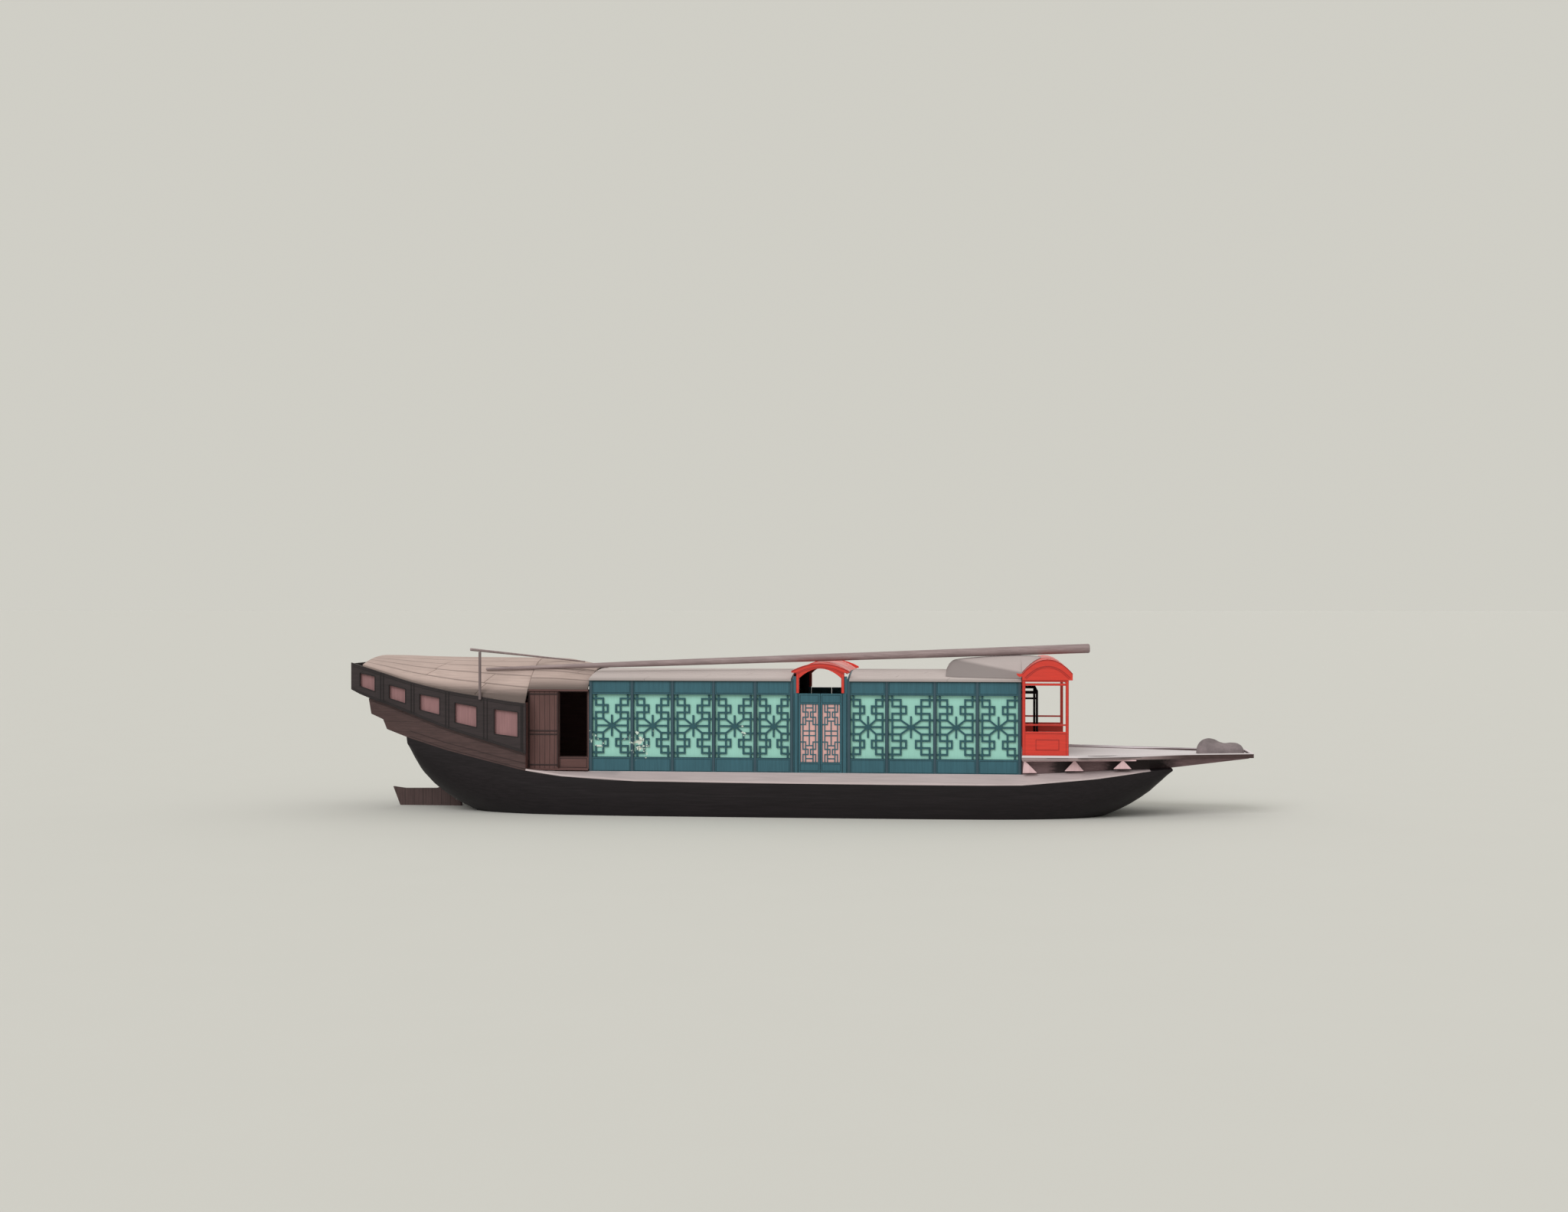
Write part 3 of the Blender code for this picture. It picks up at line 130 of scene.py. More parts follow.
# Outer edge of the foredeck: x, half width
DECK_EDGE = ((CABIN_FRONT, 1.80), (6.80, 1.78), (8.30, 1.27), (9.56, 0.88), (10.53, 0.62))
# Faces of the portico's gable, and the beads on it: ends in x, z at the ends, z at the middle, half width
PORTICO_Y = (1.660, 1.720)
PORTICO_BEADS = (((5.652, 6.703), 3.075, 3.374, 0.008), ((5.700, 6.655), 2.985, 3.240, 0.007),
                 ((5.730, 6.625), 2.968, 3.212, 0.004))
# Upturned after tip of the portico's arch, as drawn: x, z
PORTICO_TIP = ((5.652, 3.087), (5.600, 3.075), (5.527, 3.086), (5.545, 3.040), (5.587, 3.010),
               (5.652, 3.020))
# Poles: name, node, after end, fore end, taper as share and radius, sides
POLES = (
    ("mast_pole", "mast", (-6.03, -1.19, 3.1190), (7.136, 0.0, 3.578),
     ((0.0, 0.030), (0.27, 0.066), (0.5, 0.078), (0.78, 0.090), (1.0, 0.103)), 36),
    ("boom_pole", "boom", (-6.158, -2.040, 3.570), (-4.040, -0.120, 3.2595),
     ((0.0, 0.031), (1.0, 0.012)), 20),
)


# Two stones lying together: x, height, half width
STONES = ((9.440, 0.060, 0.060), (9.455, 0.140, 0.120), (9.500, 0.230, 0.190),
          (9.580, 0.300, 0.245), (9.700, 0.330, 0.270), (9.820, 0.310, 0.260),
          (9.940, 0.255, 0.235), (10.050, 0.235, 0.220), (10.160, 0.245, 0.220),
          (10.280, 0.235, 0.210), (10.380, 0.190, 0.175), (10.430, 0.130, 0.120),
          (10.460, 0.050, 0.060))


def camber(y, half, eave, crown, power=2.0):
    """Height of a vault at y."""
    return crown - (crown - eave) * (abs(y) / half) ** power


def along(table, x, column=1):
    """Value of a column of a table at x, straight between its rows."""
    if x <= table[0][0]:
        return table[0][column]
    for low, high in zip(table, table[1:]):
        if x <= high[0]:
            share = (x - low[0]) / (high[0] - low[0])
            return low[column] + share * (high[column] - low[column])
    return table[-1][column]


def eased(table, x, column=1):
    """Value of a column at x on a smooth curve through the rows."""
    last = len(table) - 1
    for i in range(last):
        if x <= table[i + 1][0] or i == last - 1:
            break
    a, b = table[i], table[i + 1]
    wide = b[0] - a[0]
    t = min(1.0, max(0.0, (x - a[0]) / wide))
    rise = (b[column] - a[column]) / wide
    before = (a[column] - table[i - 1][column]) / (a[0] - table[i - 1][0]) if i else rise
    after = (table[i + 2][column] - b[column]) / (table[i + 2][0] - b[0]) if i + 2 <= last else rise
    start = 0.0 if before * rise <= 0.0 else 2.0 * before * rise / (before + rise)
    end = 0.0 if after * rise <= 0.0 else 2.0 * after * rise / (after + rise)
    if i == 0:
        start = rise
    if i == last - 1:
        end = rise
    return (a[column] * (2 * t ** 3 - 3 * t ** 2 + 1) + b[column] * (3 * t ** 2 - 2 * t ** 3)
            + wide * (start * (t ** 3 - 2 * t ** 2 + t) + end * (t ** 3 - t ** 2)))


def gallery_y(x):
    """Outer face of the gallery wall, port side."""
    return GALLERY_HALF + GALLERY_FLARE * (x - GALLERY[0][0])


def spread(low, high, count):
    """Evenly spaced values from low to high."""
    return [low + (high - low) * i / (count - 1) for i in range(count)]


class Finish:
    """One procedural finish, worked out in metres of the boat's own space."""

    def __init__(self, name):
        self.material = bpy.data.materials.new(name)
        self.material.use_nodes = True
        self.tree = self.material.node_tree
        self.shader = self.tree.nodes["Principled BSDF"]
        self.place = self.node("ShaderNodeTexCoord").outputs["Object"]
        split = self.node("ShaderNodeSeparateXYZ", {0: self.place})
        self.x, self.y, self.z = split.outputs

    def node(self, kind, inputs=None, **settings):
        """A node with its settings and its inputs, linked or set."""
        made = self.tree.nodes.new(kind)
        for key, value in settings.items():
            setattr(made, key, value)
        for key, value in (inputs or {}).items():
            if isinstance(value, bpy.types.NodeSocket):
                self.tree.links.new(value, made.inputs[key])
            else:
                made.inputs[key].default_value = value
        return made

    def math(self, operation, a, b=0.0, clamp=False):
        """One sum on numbers or sockets."""
        return self.node("ShaderNodeMath", {0: a, 1: b}, operation=operation,
                         use_clamp=clamp).outputs[0]

    def noise(self, scale, detail=4.0, rough=0.6):
        """Noise with its own scale along each axis."""
        spot = self.node("ShaderNodeMapping", {"Vector": self.place, "Scale": scale}).outputs[0]
        return self.node("ShaderNodeTexNoise", {"Vector": spot, "Scale": 1.0, "Detail": detail,
                                                "Roughness": rough}).outputs["Fac"]

    def between(self, value, low, high):
        """Zero below low, one above high, smooth between."""
        return self.node("ShaderNodeMapRange", {"Value": value, "From Min": low, "From Max": high},
                         interpolation_type="SMOOTHSTEP").outputs[0]

    def blend(self, share, a, b):
        """Colour a where share is 0 and b where it is 1."""
        made = self.node("ShaderNodeMix", data_type="RGBA")
        for index, value in ((0, share), (6, a), (7, b)):
            if isinstance(value, bpy.types.NodeSocket):
                self.tree.links.new(value, made.inputs[index])
            elif index:
                made.inputs[index].default_value = (*value, 1.0)
            else:
                made.inputs[index].default_value = value
        return made.outputs[2]

    def boards(self, across, width, seam):
        """Board number and seam depth of boards laid side by side."""
        count = self.math("DIVIDE", across, width)
        number = self.math("FLOOR", count)
        share = self.math("FRACT", count)
        edge = self.math("MINIMUM", share, self.math("SUBTRACT", 1.0, share))
        near = self.math("MULTIPLY", edge, width)
        return number, self.math("SUBTRACT", 1.0, self.between(near, 0.0, seam))

    def inside(self, value, low, high, soft=0.001):
        """One where low < value < high."""
        return self.math("MULTIPLY", self.between(value, low - soft, low + soft),
                         self.math("SUBTRACT", 1.0, self.between(value, high - soft, high + soft)))

    def outboard(self):
        """Distance from the centreline."""
        return self.math("ABSOLUTE", self.y)

    def done(self, colour, rough, height, relief, gloss=0.5):
        """Link the shader and return the material."""
        bump = self.node("ShaderNodeBump", {"Strength": 0.6, "Distance": relief, "Height": height})
        self.tree.links.new(colour, self.shader.inputs["Base Color"])
        self.tree.links.new(rough, self.shader.inputs["Roughness"])
        self.tree.links.new(bump.outputs[0], self.shader.inputs["Normal"])
        self.shader.inputs["Specular IOR Level"].default_value = gloss
        return self.material


def shade(colour, amount):
    """A colour made lighter or darker by a factor."""
    return tuple(min(1.0, c * amount) for c in colour)


GRAIN = {"x": (1.3, 30.0, 30.0), "y": (30.0, 1.3, 30.0), "z": (30.0, 30.0, 1.3)}


def wood(name, base, grain="x", rough=0.6, streak=0.16, patch=0.12, boards=None, worn=None,
         panel=None, recess=None, painted_eave_shade=None, painted_shadow_bands=None, courses=None, gloss=0.3, relief=0.002):
    """Painted or bare wood: grain, boards with seams, faded patches and worn spots, with painted shade
    towards the eaves and painted shadow in stretches along x where asked.
    """
    f = Finish(name)
    fibres = f.noise(GRAIN[grain], 6.0, 0.65)
    stripes = f.between(fibres, 0.34, 0.66)
    cloud = f.between(f.noise((0.55, 0.8, 0.9), 3.0, 0.55), 0.32, 0.68)
    colour = f.blend(stripes, shade(base, 1.0 - streak), shade(base, 1.0 + streak))
    if recess:
        depth, inner = recess
        sunk = f.math("LESS_THAN", f.outboard(), depth)
        if panel:
            sunk = f.math("MULTIPLY", sunk, f.inside(f.x, panel[0], panel[1]))
            sunk = f.math("MULTIPLY", sunk, f.inside(f.z, panel[2], panel[3]))
        colour = f.blend(sunk, colour, f.blend(stripes, shade(inner, 1.0 - 0.5 * streak),
                                               shade(inner, 1.0 + 0.5 * streak)))
    height = f.math("MULTIPLY", fibres, 0.35)
    if boards:
        axis, width, tone, seam_width = boards
        across = {"x": f.x, "y": f.y, "z": f.z}[axis]
        number, seam = f.boards(across, width, seam_width)
        pick = f.node("ShaderNodeTexWhiteNoise", {"W": number}, noise_dimensions="1D").outputs[0]
        colour = f.blend(f.math("MULTIPLY", pick, tone), colour, shade(base, 0.62))
        colour = f.blend(f.math("MULTIPLY", seam, 0.8), colour, shade(base, 0.22))
        height = f.math("SUBTRACT", height, seam)
    colour = f.blend(f.math("MULTIPLY", cloud, patch), colour, shade(base, 0.55))
    # Painted shade towards the eaves: the colour darkens with distance from the centreline.
    if painted_eave_shade:
        inner, outer, amount = painted_eave_shade
        share = f.between(f.math("ADD", f.outboard(), f.math("MULTIPLY", fibres, 0.25)),
                          inner + 0.12, outer + 0.12)
        colour = f.blend(f.math("MULTIPLY", share, amount), colour, shade(base, 0.22))
    if courses:
        stern_half, flare, count, line = courses
        gain = f.math("MULTIPLY", flare, f.math("SUBTRACT", f.x, GALLERY[0][0]))
        half = f.math("ADD", stern_half, gain)
        course = f.math("DIVIDE", half, 0.5 * count)
        _, seam = f.boards(f.outboard(), course, line)
        colour = f.blend(f.math("MULTIPLY", seam, 0.55), colour, shade(base, 0.25))
    # Painted shadow across x, with a ragged edge from the grain.
    for low, full, end, clear in painted_shadow_bands or ():
        ragged = f.math("ADD", f.x, f.math("MULTIPLY", f.math("SUBTRACT", fibres, 0.5), 0.5))
        share = f.math("MULTIPLY", f.between(ragged, low, full),
                       f.math("SUBTRACT", 1.0, f.between(ragged, end, clear)))
        colour = f.blend(share, colour, shade(base, 0.12))
    if worn:
        for under, spot, reach, limit in worn:
            gap = f.node("ShaderNodeVectorMath", {0: f.place, 1: spot}, operation="DISTANCE")
            limit_there = f.math("ADD", limit, f.math("MULTIPLY", gap.outputs["Value"], 0.25 / reach))
            above = f.math("SUBTRACT", f.noise((8.5, 8.5, 8.5), 5.0, 0.62), limit_there)
            flake = f.between(above, 0.0, 0.012)
            colour = f.blend(flake, colour, under)
            height = f.math("SUBTRACT", height, f.math("MULTIPLY", flake, 0.5))
    fine = f.noise((90.0, 90.0, 90.0), 2.0, 0.5)
    height = f.math("ADD", height, f.math("MULTIPLY", fine, 0.08))
    gloss_map = f.math("ADD", rough - 0.08, f.math("MULTIPLY", cloud, 0.16))
    return f.done(colour, gloss_map, height, relief, gloss)


def edge_board(name, top, side, tip):
    """Edge of the foredeck: pale on top, mauve below, and dark brown towards the tip."""
    f = Finish(name)
    fibres = f.noise(GRAIN["x"], 6.0, 0.65)
    ahead = f.between(f.x, 7.9, 9.2)
    low = f.blend(ahead, side, tip)
    low = f.blend(f.between(fibres, 0.3, 0.7), low, f.blend(ahead, shade(side, 0.8), shade(tip, 0.7)))
    line = f.math("ADD", 1.312, f.math("MULTIPLY", ahead, 0.024))
    above = f.math("SUBTRACT", f.z, line)
    colour = f.blend(f.between(above, -0.002, 0.002), low, top)
    outline = f.inside(above, -0.006, 0.0, 0.002)
    colour = f.blend(f.math("MULTIPLY", outline, 0.7), colour, shade(side, 0.3))
    rough = f.math("ADD", 0.6, f.math("MULTIPLY", fibres, 0.1))
    return f.done(colour, rough, fibres, 0.001, 0.3)


def matting(name, base):
    """Coarse woven matting, over and under every 18 mm, with painted shade below its fold."""
    f = Finish(name)
    a = f.math("SINE", f.math("MULTIPLY", f.x, 175.0))
    b = f.math("SINE", f.math("MULTIPLY", f.y, 175.0))
    weave = f.math("MULTIPLY", a, b)
    strand = f.between(weave, -0.6, 0.6)
    cloud = f.between(f.noise((0.9, 1.4, 1.2), 4.0, 0.6), 0.3, 0.7)
    colour = f.blend(strand, shade(base, 0.94), shade(base, 1.06))
    colour = f.blend(f.math("MULTIPLY", cloud, 0.16), colour, shade(base, 0.62))
    # Painted shade on the hood's side under the fold line.
    fold = f.math("SUBTRACT", HOOD_SHADE_LINE[0], f.math("MULTIPLY", f.x, HOOD_SHADE_LINE[1]))
    below = f.between(f.math("SUBTRACT", fold, f.z), -0.035, 0.035)
    colour = f.blend(f.math("MULTIPLY", below, 0.75), colour, shade(base, 0.42))
    rough = f.math("ADD", 0.82, f.math("MULTIPLY", cloud, 0.1))
    return f.done(colour, rough, strand, 0.003, 0.15)


def stone(name, base):
    """Dry river stone with darker pits."""
    f = Finish(name)
    cloud = f.between(f.noise((2.4, 2.4, 3.2), 6.0, 0.6), 0.3, 0.7)
    pits = f.between(f.noise((38.0, 38.0, 38.0), 4.0, 0.6), 0.55, 0.7)
    colour = f.blend(cloud, shade(base, 0.72), shade(base, 1.25))
    colour = f.blend(f.math("MULTIPLY", pits, 0.5), colour, shade(base, 0.45))
    height = f.math("SUBTRACT", cloud, f.math("MULTIPLY", pits, 0.4))
    rough = f.math("ADD", 0.72, f.math("MULTIPLY", cloud, 0.15))
    return f.done(colour, rough, height, 0.008, 0.3)


TEAL = (0.036, 0.118, 0.154)
TEAL_POST = (0.040, 0.082, 0.108)
TEAL_FRET = (0.022, 0.088, 0.108)
TEAL_LINE = (0.012, 0.046, 0.060)
MINT = (0.330, 0.640, 0.560)
PINK = (0.680, 0.400, 0.380)
RED = (0.640, 0.036, 0.020)
RED_LINE = (0.340, 0.014, 0.010)
BROWN = (0.068, 0.038, 0.037)
BROWN_LINE = (0.034, 0.018, 0.018)
DOOR = (0.120, 0.058, 0.054)
COAMING = (0.200, 0.128, 0.136)
DARK = (0.030, 0.021, 0.023)
DARK_LINE = (0.011, 0.008, 0.009)
ROSE = (0.290, 0.154, 0.160)
AFT_ROOF = (0.500, 0.390, 0.360)
CABIN_ROOF = (0.520, 0.455, 0.450)
GREY = (0.470, 0.410, 0.410)
BOARD = (0.520, 0.440, 0.450)
DECK = (0.680, 0.630, 0.660)
KNEE = (0.710, 0.490, 0.520)
SPAR = (0.300, 0.232, 0.236)
RUDDER = (0.080, 0.048, 0.047)
TAR = (0.0125, 0.0095, 0.0115)
STONE = (0.195, 0.162, 0.170)
BLACK = (0.009, 0.008, 0.009)
# Bare patches of the paint: colour beneath, centre, reach, share left whole
FLAKES = (((0.62, 0.72, 0.66), (-2.55, -1.60, 1.53), 0.42, 0.440),
          ((0.62, 0.72, 0.66), (-3.50, -1.60, 1.56), 0.34, 0.470),
          ((0.62, 0.72, 0.66), (-0.30, -1.60, 1.80), 0.30, 0.500))
# Painted shadow on the coaming beside its knees: x where it starts, is full, begins to clear, is clear
KNEE_PAINTED_SHADOW = ((6.15, 6.42, 6.75, 6.80), (7.30, 7.55, 7.80, 7.85), (7.80, 7.85, 8.55, 9.10))

FINISH = {
    "tar": wood("tarred_planking", TAR, "x", 0.5, 0.25, 0.35, gloss=0.22),
    "brown": wood("brown_planking", BROWN, "x", 0.6, 0.18, 0.30, ("z", 0.22, 0.12, 0.006)),
    "brown_trim": wood("brown_trim", BROWN_LINE, "x", 0.6, 0.15, 0.2),
    "door": wood("door_boards", DOOR, "z", 0.6, 0.16, 0.2, ("x", 0.110, 0.18, 0.014)),
    "sill": wood("door_sill", shade(DOOR, 0.95), "x", 0.6, 0.14, 0.2),
    "coaming": wood("coaming_boards", COAMING, "x", 0.6, 0.16, 0.3, painted_shadow_bands=KNEE_PAINTED_SHADOW),
    "dark": wood("dark_boards", DARK, "x", 0.5, 0.18, 0.25),
    "dark_trim": wood("dark_trim", DARK_LINE, "x", 0.5, 0.15, 0.2),
    "rose": wood("rose_panes", ROSE, "z", 0.65, 0.10, 0.15),
    "aft_roof": wood("aft_roof_boards", AFT_ROOF, "x", 0.8, 0.09, 0.20, gloss=0.15,
                     painted_eave_shade=(1.55, 1.86, 0.95), courses=(GALLERY_HALF, GALLERY_FLARE, AFT_COURSES, 0.030)),
    "door_roof": wood("door_roof_boards", shade(AFT_ROOF, 0.90), "x", 0.8, 0.09, 0.20, gloss=0.15,
                      painted_eave_shade=(1.35, 1.72, 0.85), courses=(DOOR_ROOF_HALF, 0.0, AFT_COURSES, 0.030)),
    "cabin_roof": wood("cabin_roof_boards", CABIN_ROOF, "x", 0.8, 0.06, 0.14, gloss=0.15,
                       painted_eave_shade=(1.45, 1.75, 0.45)),
    # The roof lining is the after roof's colour darkened to 0.3: painted shade under the roofs.
    "roof_under": wood("roof_underside", shade(AFT_ROOF, 0.30), "x", 0.8, 0.15, 0.3),
    "grey": matting("grey_matting", GREY),
    "teal": wood("teal_paint", TEAL, "z", 0.5, 0.12, 0.20),
    "wall": wood("wall_paint", TEAL, "z", 0.5, 0.10, 0.18, worn=FLAKES,
                 recess=(WALL_Y - 0.5 * FRET_FACE, TEAL_FRET)),
    "teal_post": wood("teal_posts", TEAL_POST, "z", 0.5, 0.10, 0.15, worn=FLAKES),
    "teal_line": wood("teal_trim", TEAL_LINE, "z", 0.5, 0.12, 0.15),
    "mint": wood("mint_panes", MINT, "z", 0.7, 0.03, 0.10,
                 worn=(((0.74, 0.78, 0.70), (-2.55, -1.53, 1.53), 0.40, 0.45),)),
    "red": wood("red_lacquer", RED, "x", 0.38, 0.08, 0.16, gloss=0.5),
    "red_line": wood("red_trim", RED_LINE, "x", 0.4, 0.08, 0.12, gloss=0.5),
    "board": wood("covering_boards", BOARD, "x", 0.65, 0.08, 0.14),
    "board_line": wood("covering_line", shade(BOARD, 0.25), "x", 0.6, 0.10, 0.14),
    "knee": wood("knee_paint", KNEE, "z", 0.65, 0.07, 0.10),
    "edge": edge_board("edge_boards", DECK, (0.330, 0.250, 0.255), (0.070, 0.040, 0.040)),
    "deck": wood("deck_planking", DECK, "x", 0.65, 0.05, 0.12, ("y", 0.205, 0.05, 0.006)),
    "sole": wood("cabin_floor", shade(AFT_ROOF, 0.5), "x", 0.6, 0.15, 0.2, ("y", 0.19, 0.15, 0.006)),
    "spar": wood("bare_spar", SPAR, "x", 0.55, 0.16, 0.25),
    "post": wood("bare_post", shade(SPAR, 0.6), "z", 0.55, 0.16, 0.25),
    "rudder": wood("rudder_boards", RUDDER, "z", 0.6, 0.2, 0.3, ("x", 0.21, 0.15, 0.010)),
    "stone": stone("river_stone", STONE),
    # Matte black for the dark inside seen through the front doorway and the gate's arch: painted shade.
    "black": wood("black_painted_shade", BLACK, "z", 0.9, 0.12, 0.2, gloss=0.0),
}
for leaf, low, high in LEAVES:
    spot = (low + LEAF_STILE, high - LEAF_STILE, *LEAF_PANEL_Z)
    FINISH["leaf_" + leaf] = wood("gate_leaf_paint_" + leaf, TEAL, "z", 0.55, 0.10, 0.12,
                                  panel=spot, recess=(WALL_Y - 0.67 * PANEL_FACE, PINK))


class Shape:
    """Corners and faces of one piece, gathered before it is made."""

    def __init__(self):
        self.verts = []
        self.faces = []

    def box(self, low, high):
        """A block between two corners."""
        start = len(self.verts)
        (x0, x1), (y0, y1), (z0, z1) = (sorted(pair) for pair in zip(low, high))
        self.verts += [(x0, y0, z0), (x1, y0, z0), (x1, y1, z0), (x0, y1, z0),
                       (x0, y0, z1), (x1, y0, z1), (x1, y1, z1), (x0, y1, z1)]
        for face in ((3, 2, 1, 0), (4, 5, 6, 7), (0, 1, 5, 4), (1, 2, 6, 5), (2, 3, 7, 6),
                     (3, 0, 4, 7)):
            self.faces.append(tuple(start + i for i in face))

    def loft(self, sections, closed=True, caps=True):
        """Skin over sections of equal count."""
        start = len(self.verts)
        count = len(sections[0])
        for section in sections:
            self.verts += section
        for row in range(len(sections) - 1):
            for col in range(count if closed else count - 1):
                nxt = (col + 1) % count
                a = start + row * count
                b = a + count
                self.faces.append((a + col, a + nxt, b + nxt, b + col))
        if caps and closed:
            self.faces.append(tuple(start + i for i in range(count)))
            end = start + (len(sections) - 1) * count
            self.faces.append(tuple(end + i for i in range(count)))

    def sweep(self, path, sides, half):
        """A bead of section 2 * half[0] by 2 * half[1] along a path; sides is its flat direction."""
        sections = []
        side = Vector(sides).normalized()
        for i, point in enumerate(path):
            ahead = Vector(path[min(i + 1, len(path) - 1)]) - Vector(path[max(i - 1, 0)])
            up = ahead.cross(side).normalized() * half[0]
            out = side * half[1]
            p = Vector(point)
            sections.append([tuple(p + up + out), tuple(p - up + out), tuple(p - up - out),
                             tuple(p + up - out)])
        self.loft(sections)

    def make(self, name, finish, body="boat", stands_for=(), smooth=False, bevel=0.0, slot=None):
        """The finished piece, riding on its body."""
        mesh = bpy.data.meshes.new(name)
        mesh.from_pydata(self.verts, [], self.faces)
        work = bmesh.new()
        work.from_mesh(mesh)
        bmesh.ops.remove_doubles(work, verts=work.verts, dist=1e-6)
        bmesh.ops.recalc_face_normals(work, faces=work.faces)
        work.to_mesh(mesh)
        work.free()
        mesh.materials.append(FINISH[finish])
        if smooth:
            mesh.shade_smooth()
            mesh.set_sharp_from_angle(angle=math.radians(38.0))
        obj = bpy.data.objects.new(name, mesh)
        bpy.context.scene.collection.objects.link(obj)
        if bevel:
            edge = obj.modifiers.new("soft_edges", "BEVEL")
            edge.width = bevel
            edge.segments = 2
            edge.limit_method = "ANGLE"
        if stands_for:
            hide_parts(*stands_for)
        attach(obj, body)
        return obj


def dress(finish, *nodes, bevel=0.0):
    """Give CAD nodes a finish, and soften their edges."""
    for name in nodes:
        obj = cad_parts[name]
        obj.data.materials.clear()
        obj.data.materials.append(FINISH[finish])
        if bevel:
            weld = obj.modifiers.new("weld", "WELD")
            weld.merge_threshold = 0.0001
            edge = obj.modifiers.new("soft_edges", "BEVEL")
            edge.width = bevel
            edge.segments = 2
            edge.limit_method = "ANGLE"
            edge.angle_limit = math.radians(40.0)


def both(text):
    """Names of a piece on the starboard and port sides."""
    return [f"{text}_{side}" for side, _ in SIDES]


def hull_side(x):
    """Points (y, z) of the hull's side from the keel to the sheer at x, with their seams."""
    bottom, breadth, sheer = (eased(HULL, x, c) for c in (1, 2, 3))
    curve = []
    for turn in spread(0.0, math.pi / 2.0, 80):
        curve.append((breadth * math.sin(turn) ** (2.0 / BILGE_FULLNESS),
                      sheer - (sheer - bottom) * math.cos(turn) ** (2.0 / BILGE_FULLNESS)))
    runs = [0.0]
    for a, b in zip(curve, curve[1:]):
        runs.append(runs[-1] + math.dist(a, b))
    table = [(run, y, z) for run, (y, z) in zip(runs, curve)]
    points = []
    for i in range(STRAKES + 1):
        at = runs[-1] * i / STRAKES
        for step, sink in ((-0.010, 0.0), (0.0, SEAM), (0.010, 0.0)):
            run = min(runs[-1], max(0.0, at + step))
            y, z = along(table, run, 1), along(table, run, 2)
            if 0 < i < STRAKES and sink:
                a = min(runs[-1], run + 0.02)
                b = max(0.0, run - 0.02)
                dy = along(table, a, 1) - along(table, b, 1)
                dz = along(table, a, 2) - along(table, b, 2)
                size = math.hypot(dy, dz)
                y, z = y - sink * dz / size, z + sink * dy / size
            if (i == 0 and step < 0.0) or (i == STRAKES and step > 0.0):
                continue
            points.append((y, z))
    return points


def inner_edge(x, breadth):
    """Inboard edge of the covering board: at the cabin's wall, then 0.34 m inside the sheer."""
    return breadth - 0.34 if x > CABIN_FRONT else min(WALL_Y + 0.003, breadth - 0.12)


def build_hull():
    """Tarred planked hull, the pale planks on its shoulders and a painted shadow line under their outer
    edge.
    """
    stations = sorted({round(x, 3) for x in spread(-7.68, 8.84, 76)} | {row[0] for row in HULL})
    shell = Shape()
    sections = []
    for x in stations:
        side = hull_side(x)
        breadth = eased(HULL, x, 2)
        side.append((inner_edge(x, breadth), along(HULL, x, 4) - 0.001))
        sections.append([(x, y, z) for y, z in side] + [(x, -y, z) for y, z in reversed(side[1:])])
    shell.loft(sections)
    shell.make("hull_planking", "tar", stands_for=("hull",), smooth=True, slot="hull")
    for side, sign in SIDES:
        plank = Shape()
        edge = Shape()
        rail = []
        line = []
        for x in stations:
            if not COVERING_X[0] <= x <= COVERING_X[1]:
                continue
            breadth, sheer, deck = eased(HULL, x, 2), along(HULL, x, 3), along(HULL, x, 4)
            low = (inner_edge(x, breadth), deck + 0.002)
            out = (breadth - 0.001, sheer + 0.002)
            thin = min(1.0, max(0.06, (COVERING_TIP - x) / 0.95))
            ring = [low, out, (out[0], out[1] + 0.022 * thin), (out[0] - 0.006, out[1] + 0.036 * thin),
                    (out[0] - 0.020, out[1] + 0.040 * thin), (low[0] + 0.012, low[1] + 0.038 * thin),
                    (low[0], low[1] + 0.034 * thin)]
            rail.append([(x, sign * y, z) for y, z in ring])
            # A dark strip just under the covering board's outer edge: painted shadow line.
            drop = [(out[0] - 0.012, out[1] - 0.034 * thin), (out[0] - 0.002, out[1] - 0.028 * thin),
                    (out[0] - 0.001, out[1] - 0.006 * thin), (out[0] - 0.014, out[1])]
            line.append([(x, sign * y, z) for y, z in drop])
        plank.loft(rail)
        plank.make(f"covering_board_{side}", "board", stands_for=(f"side_deck_{side}",), smooth=True,
                   slot="pale")
        edge.loft(line)
        edge.make(f"covering_shadow_line_{side}", "board_line", smooth=True, slot="pale")


def frame_beads(work, area, face_y, out_y, wide):
    """Four beads round a rectangle on a side wall."""
    x0, x1, z0, z1 = area
    for low, high in (((x0, z0), (x1, z0 + wide)), ((x0, z1 - wide), (x1, z1)),
                      ((x0, z0 + wide), (x0 + wide, z1 - wide)),
                      ((x1 - wide, z0 + wide), (x1, z1 - wide))):
        work.box((low[0], face_y, low[1]), (high[0], out_y, high[1]))


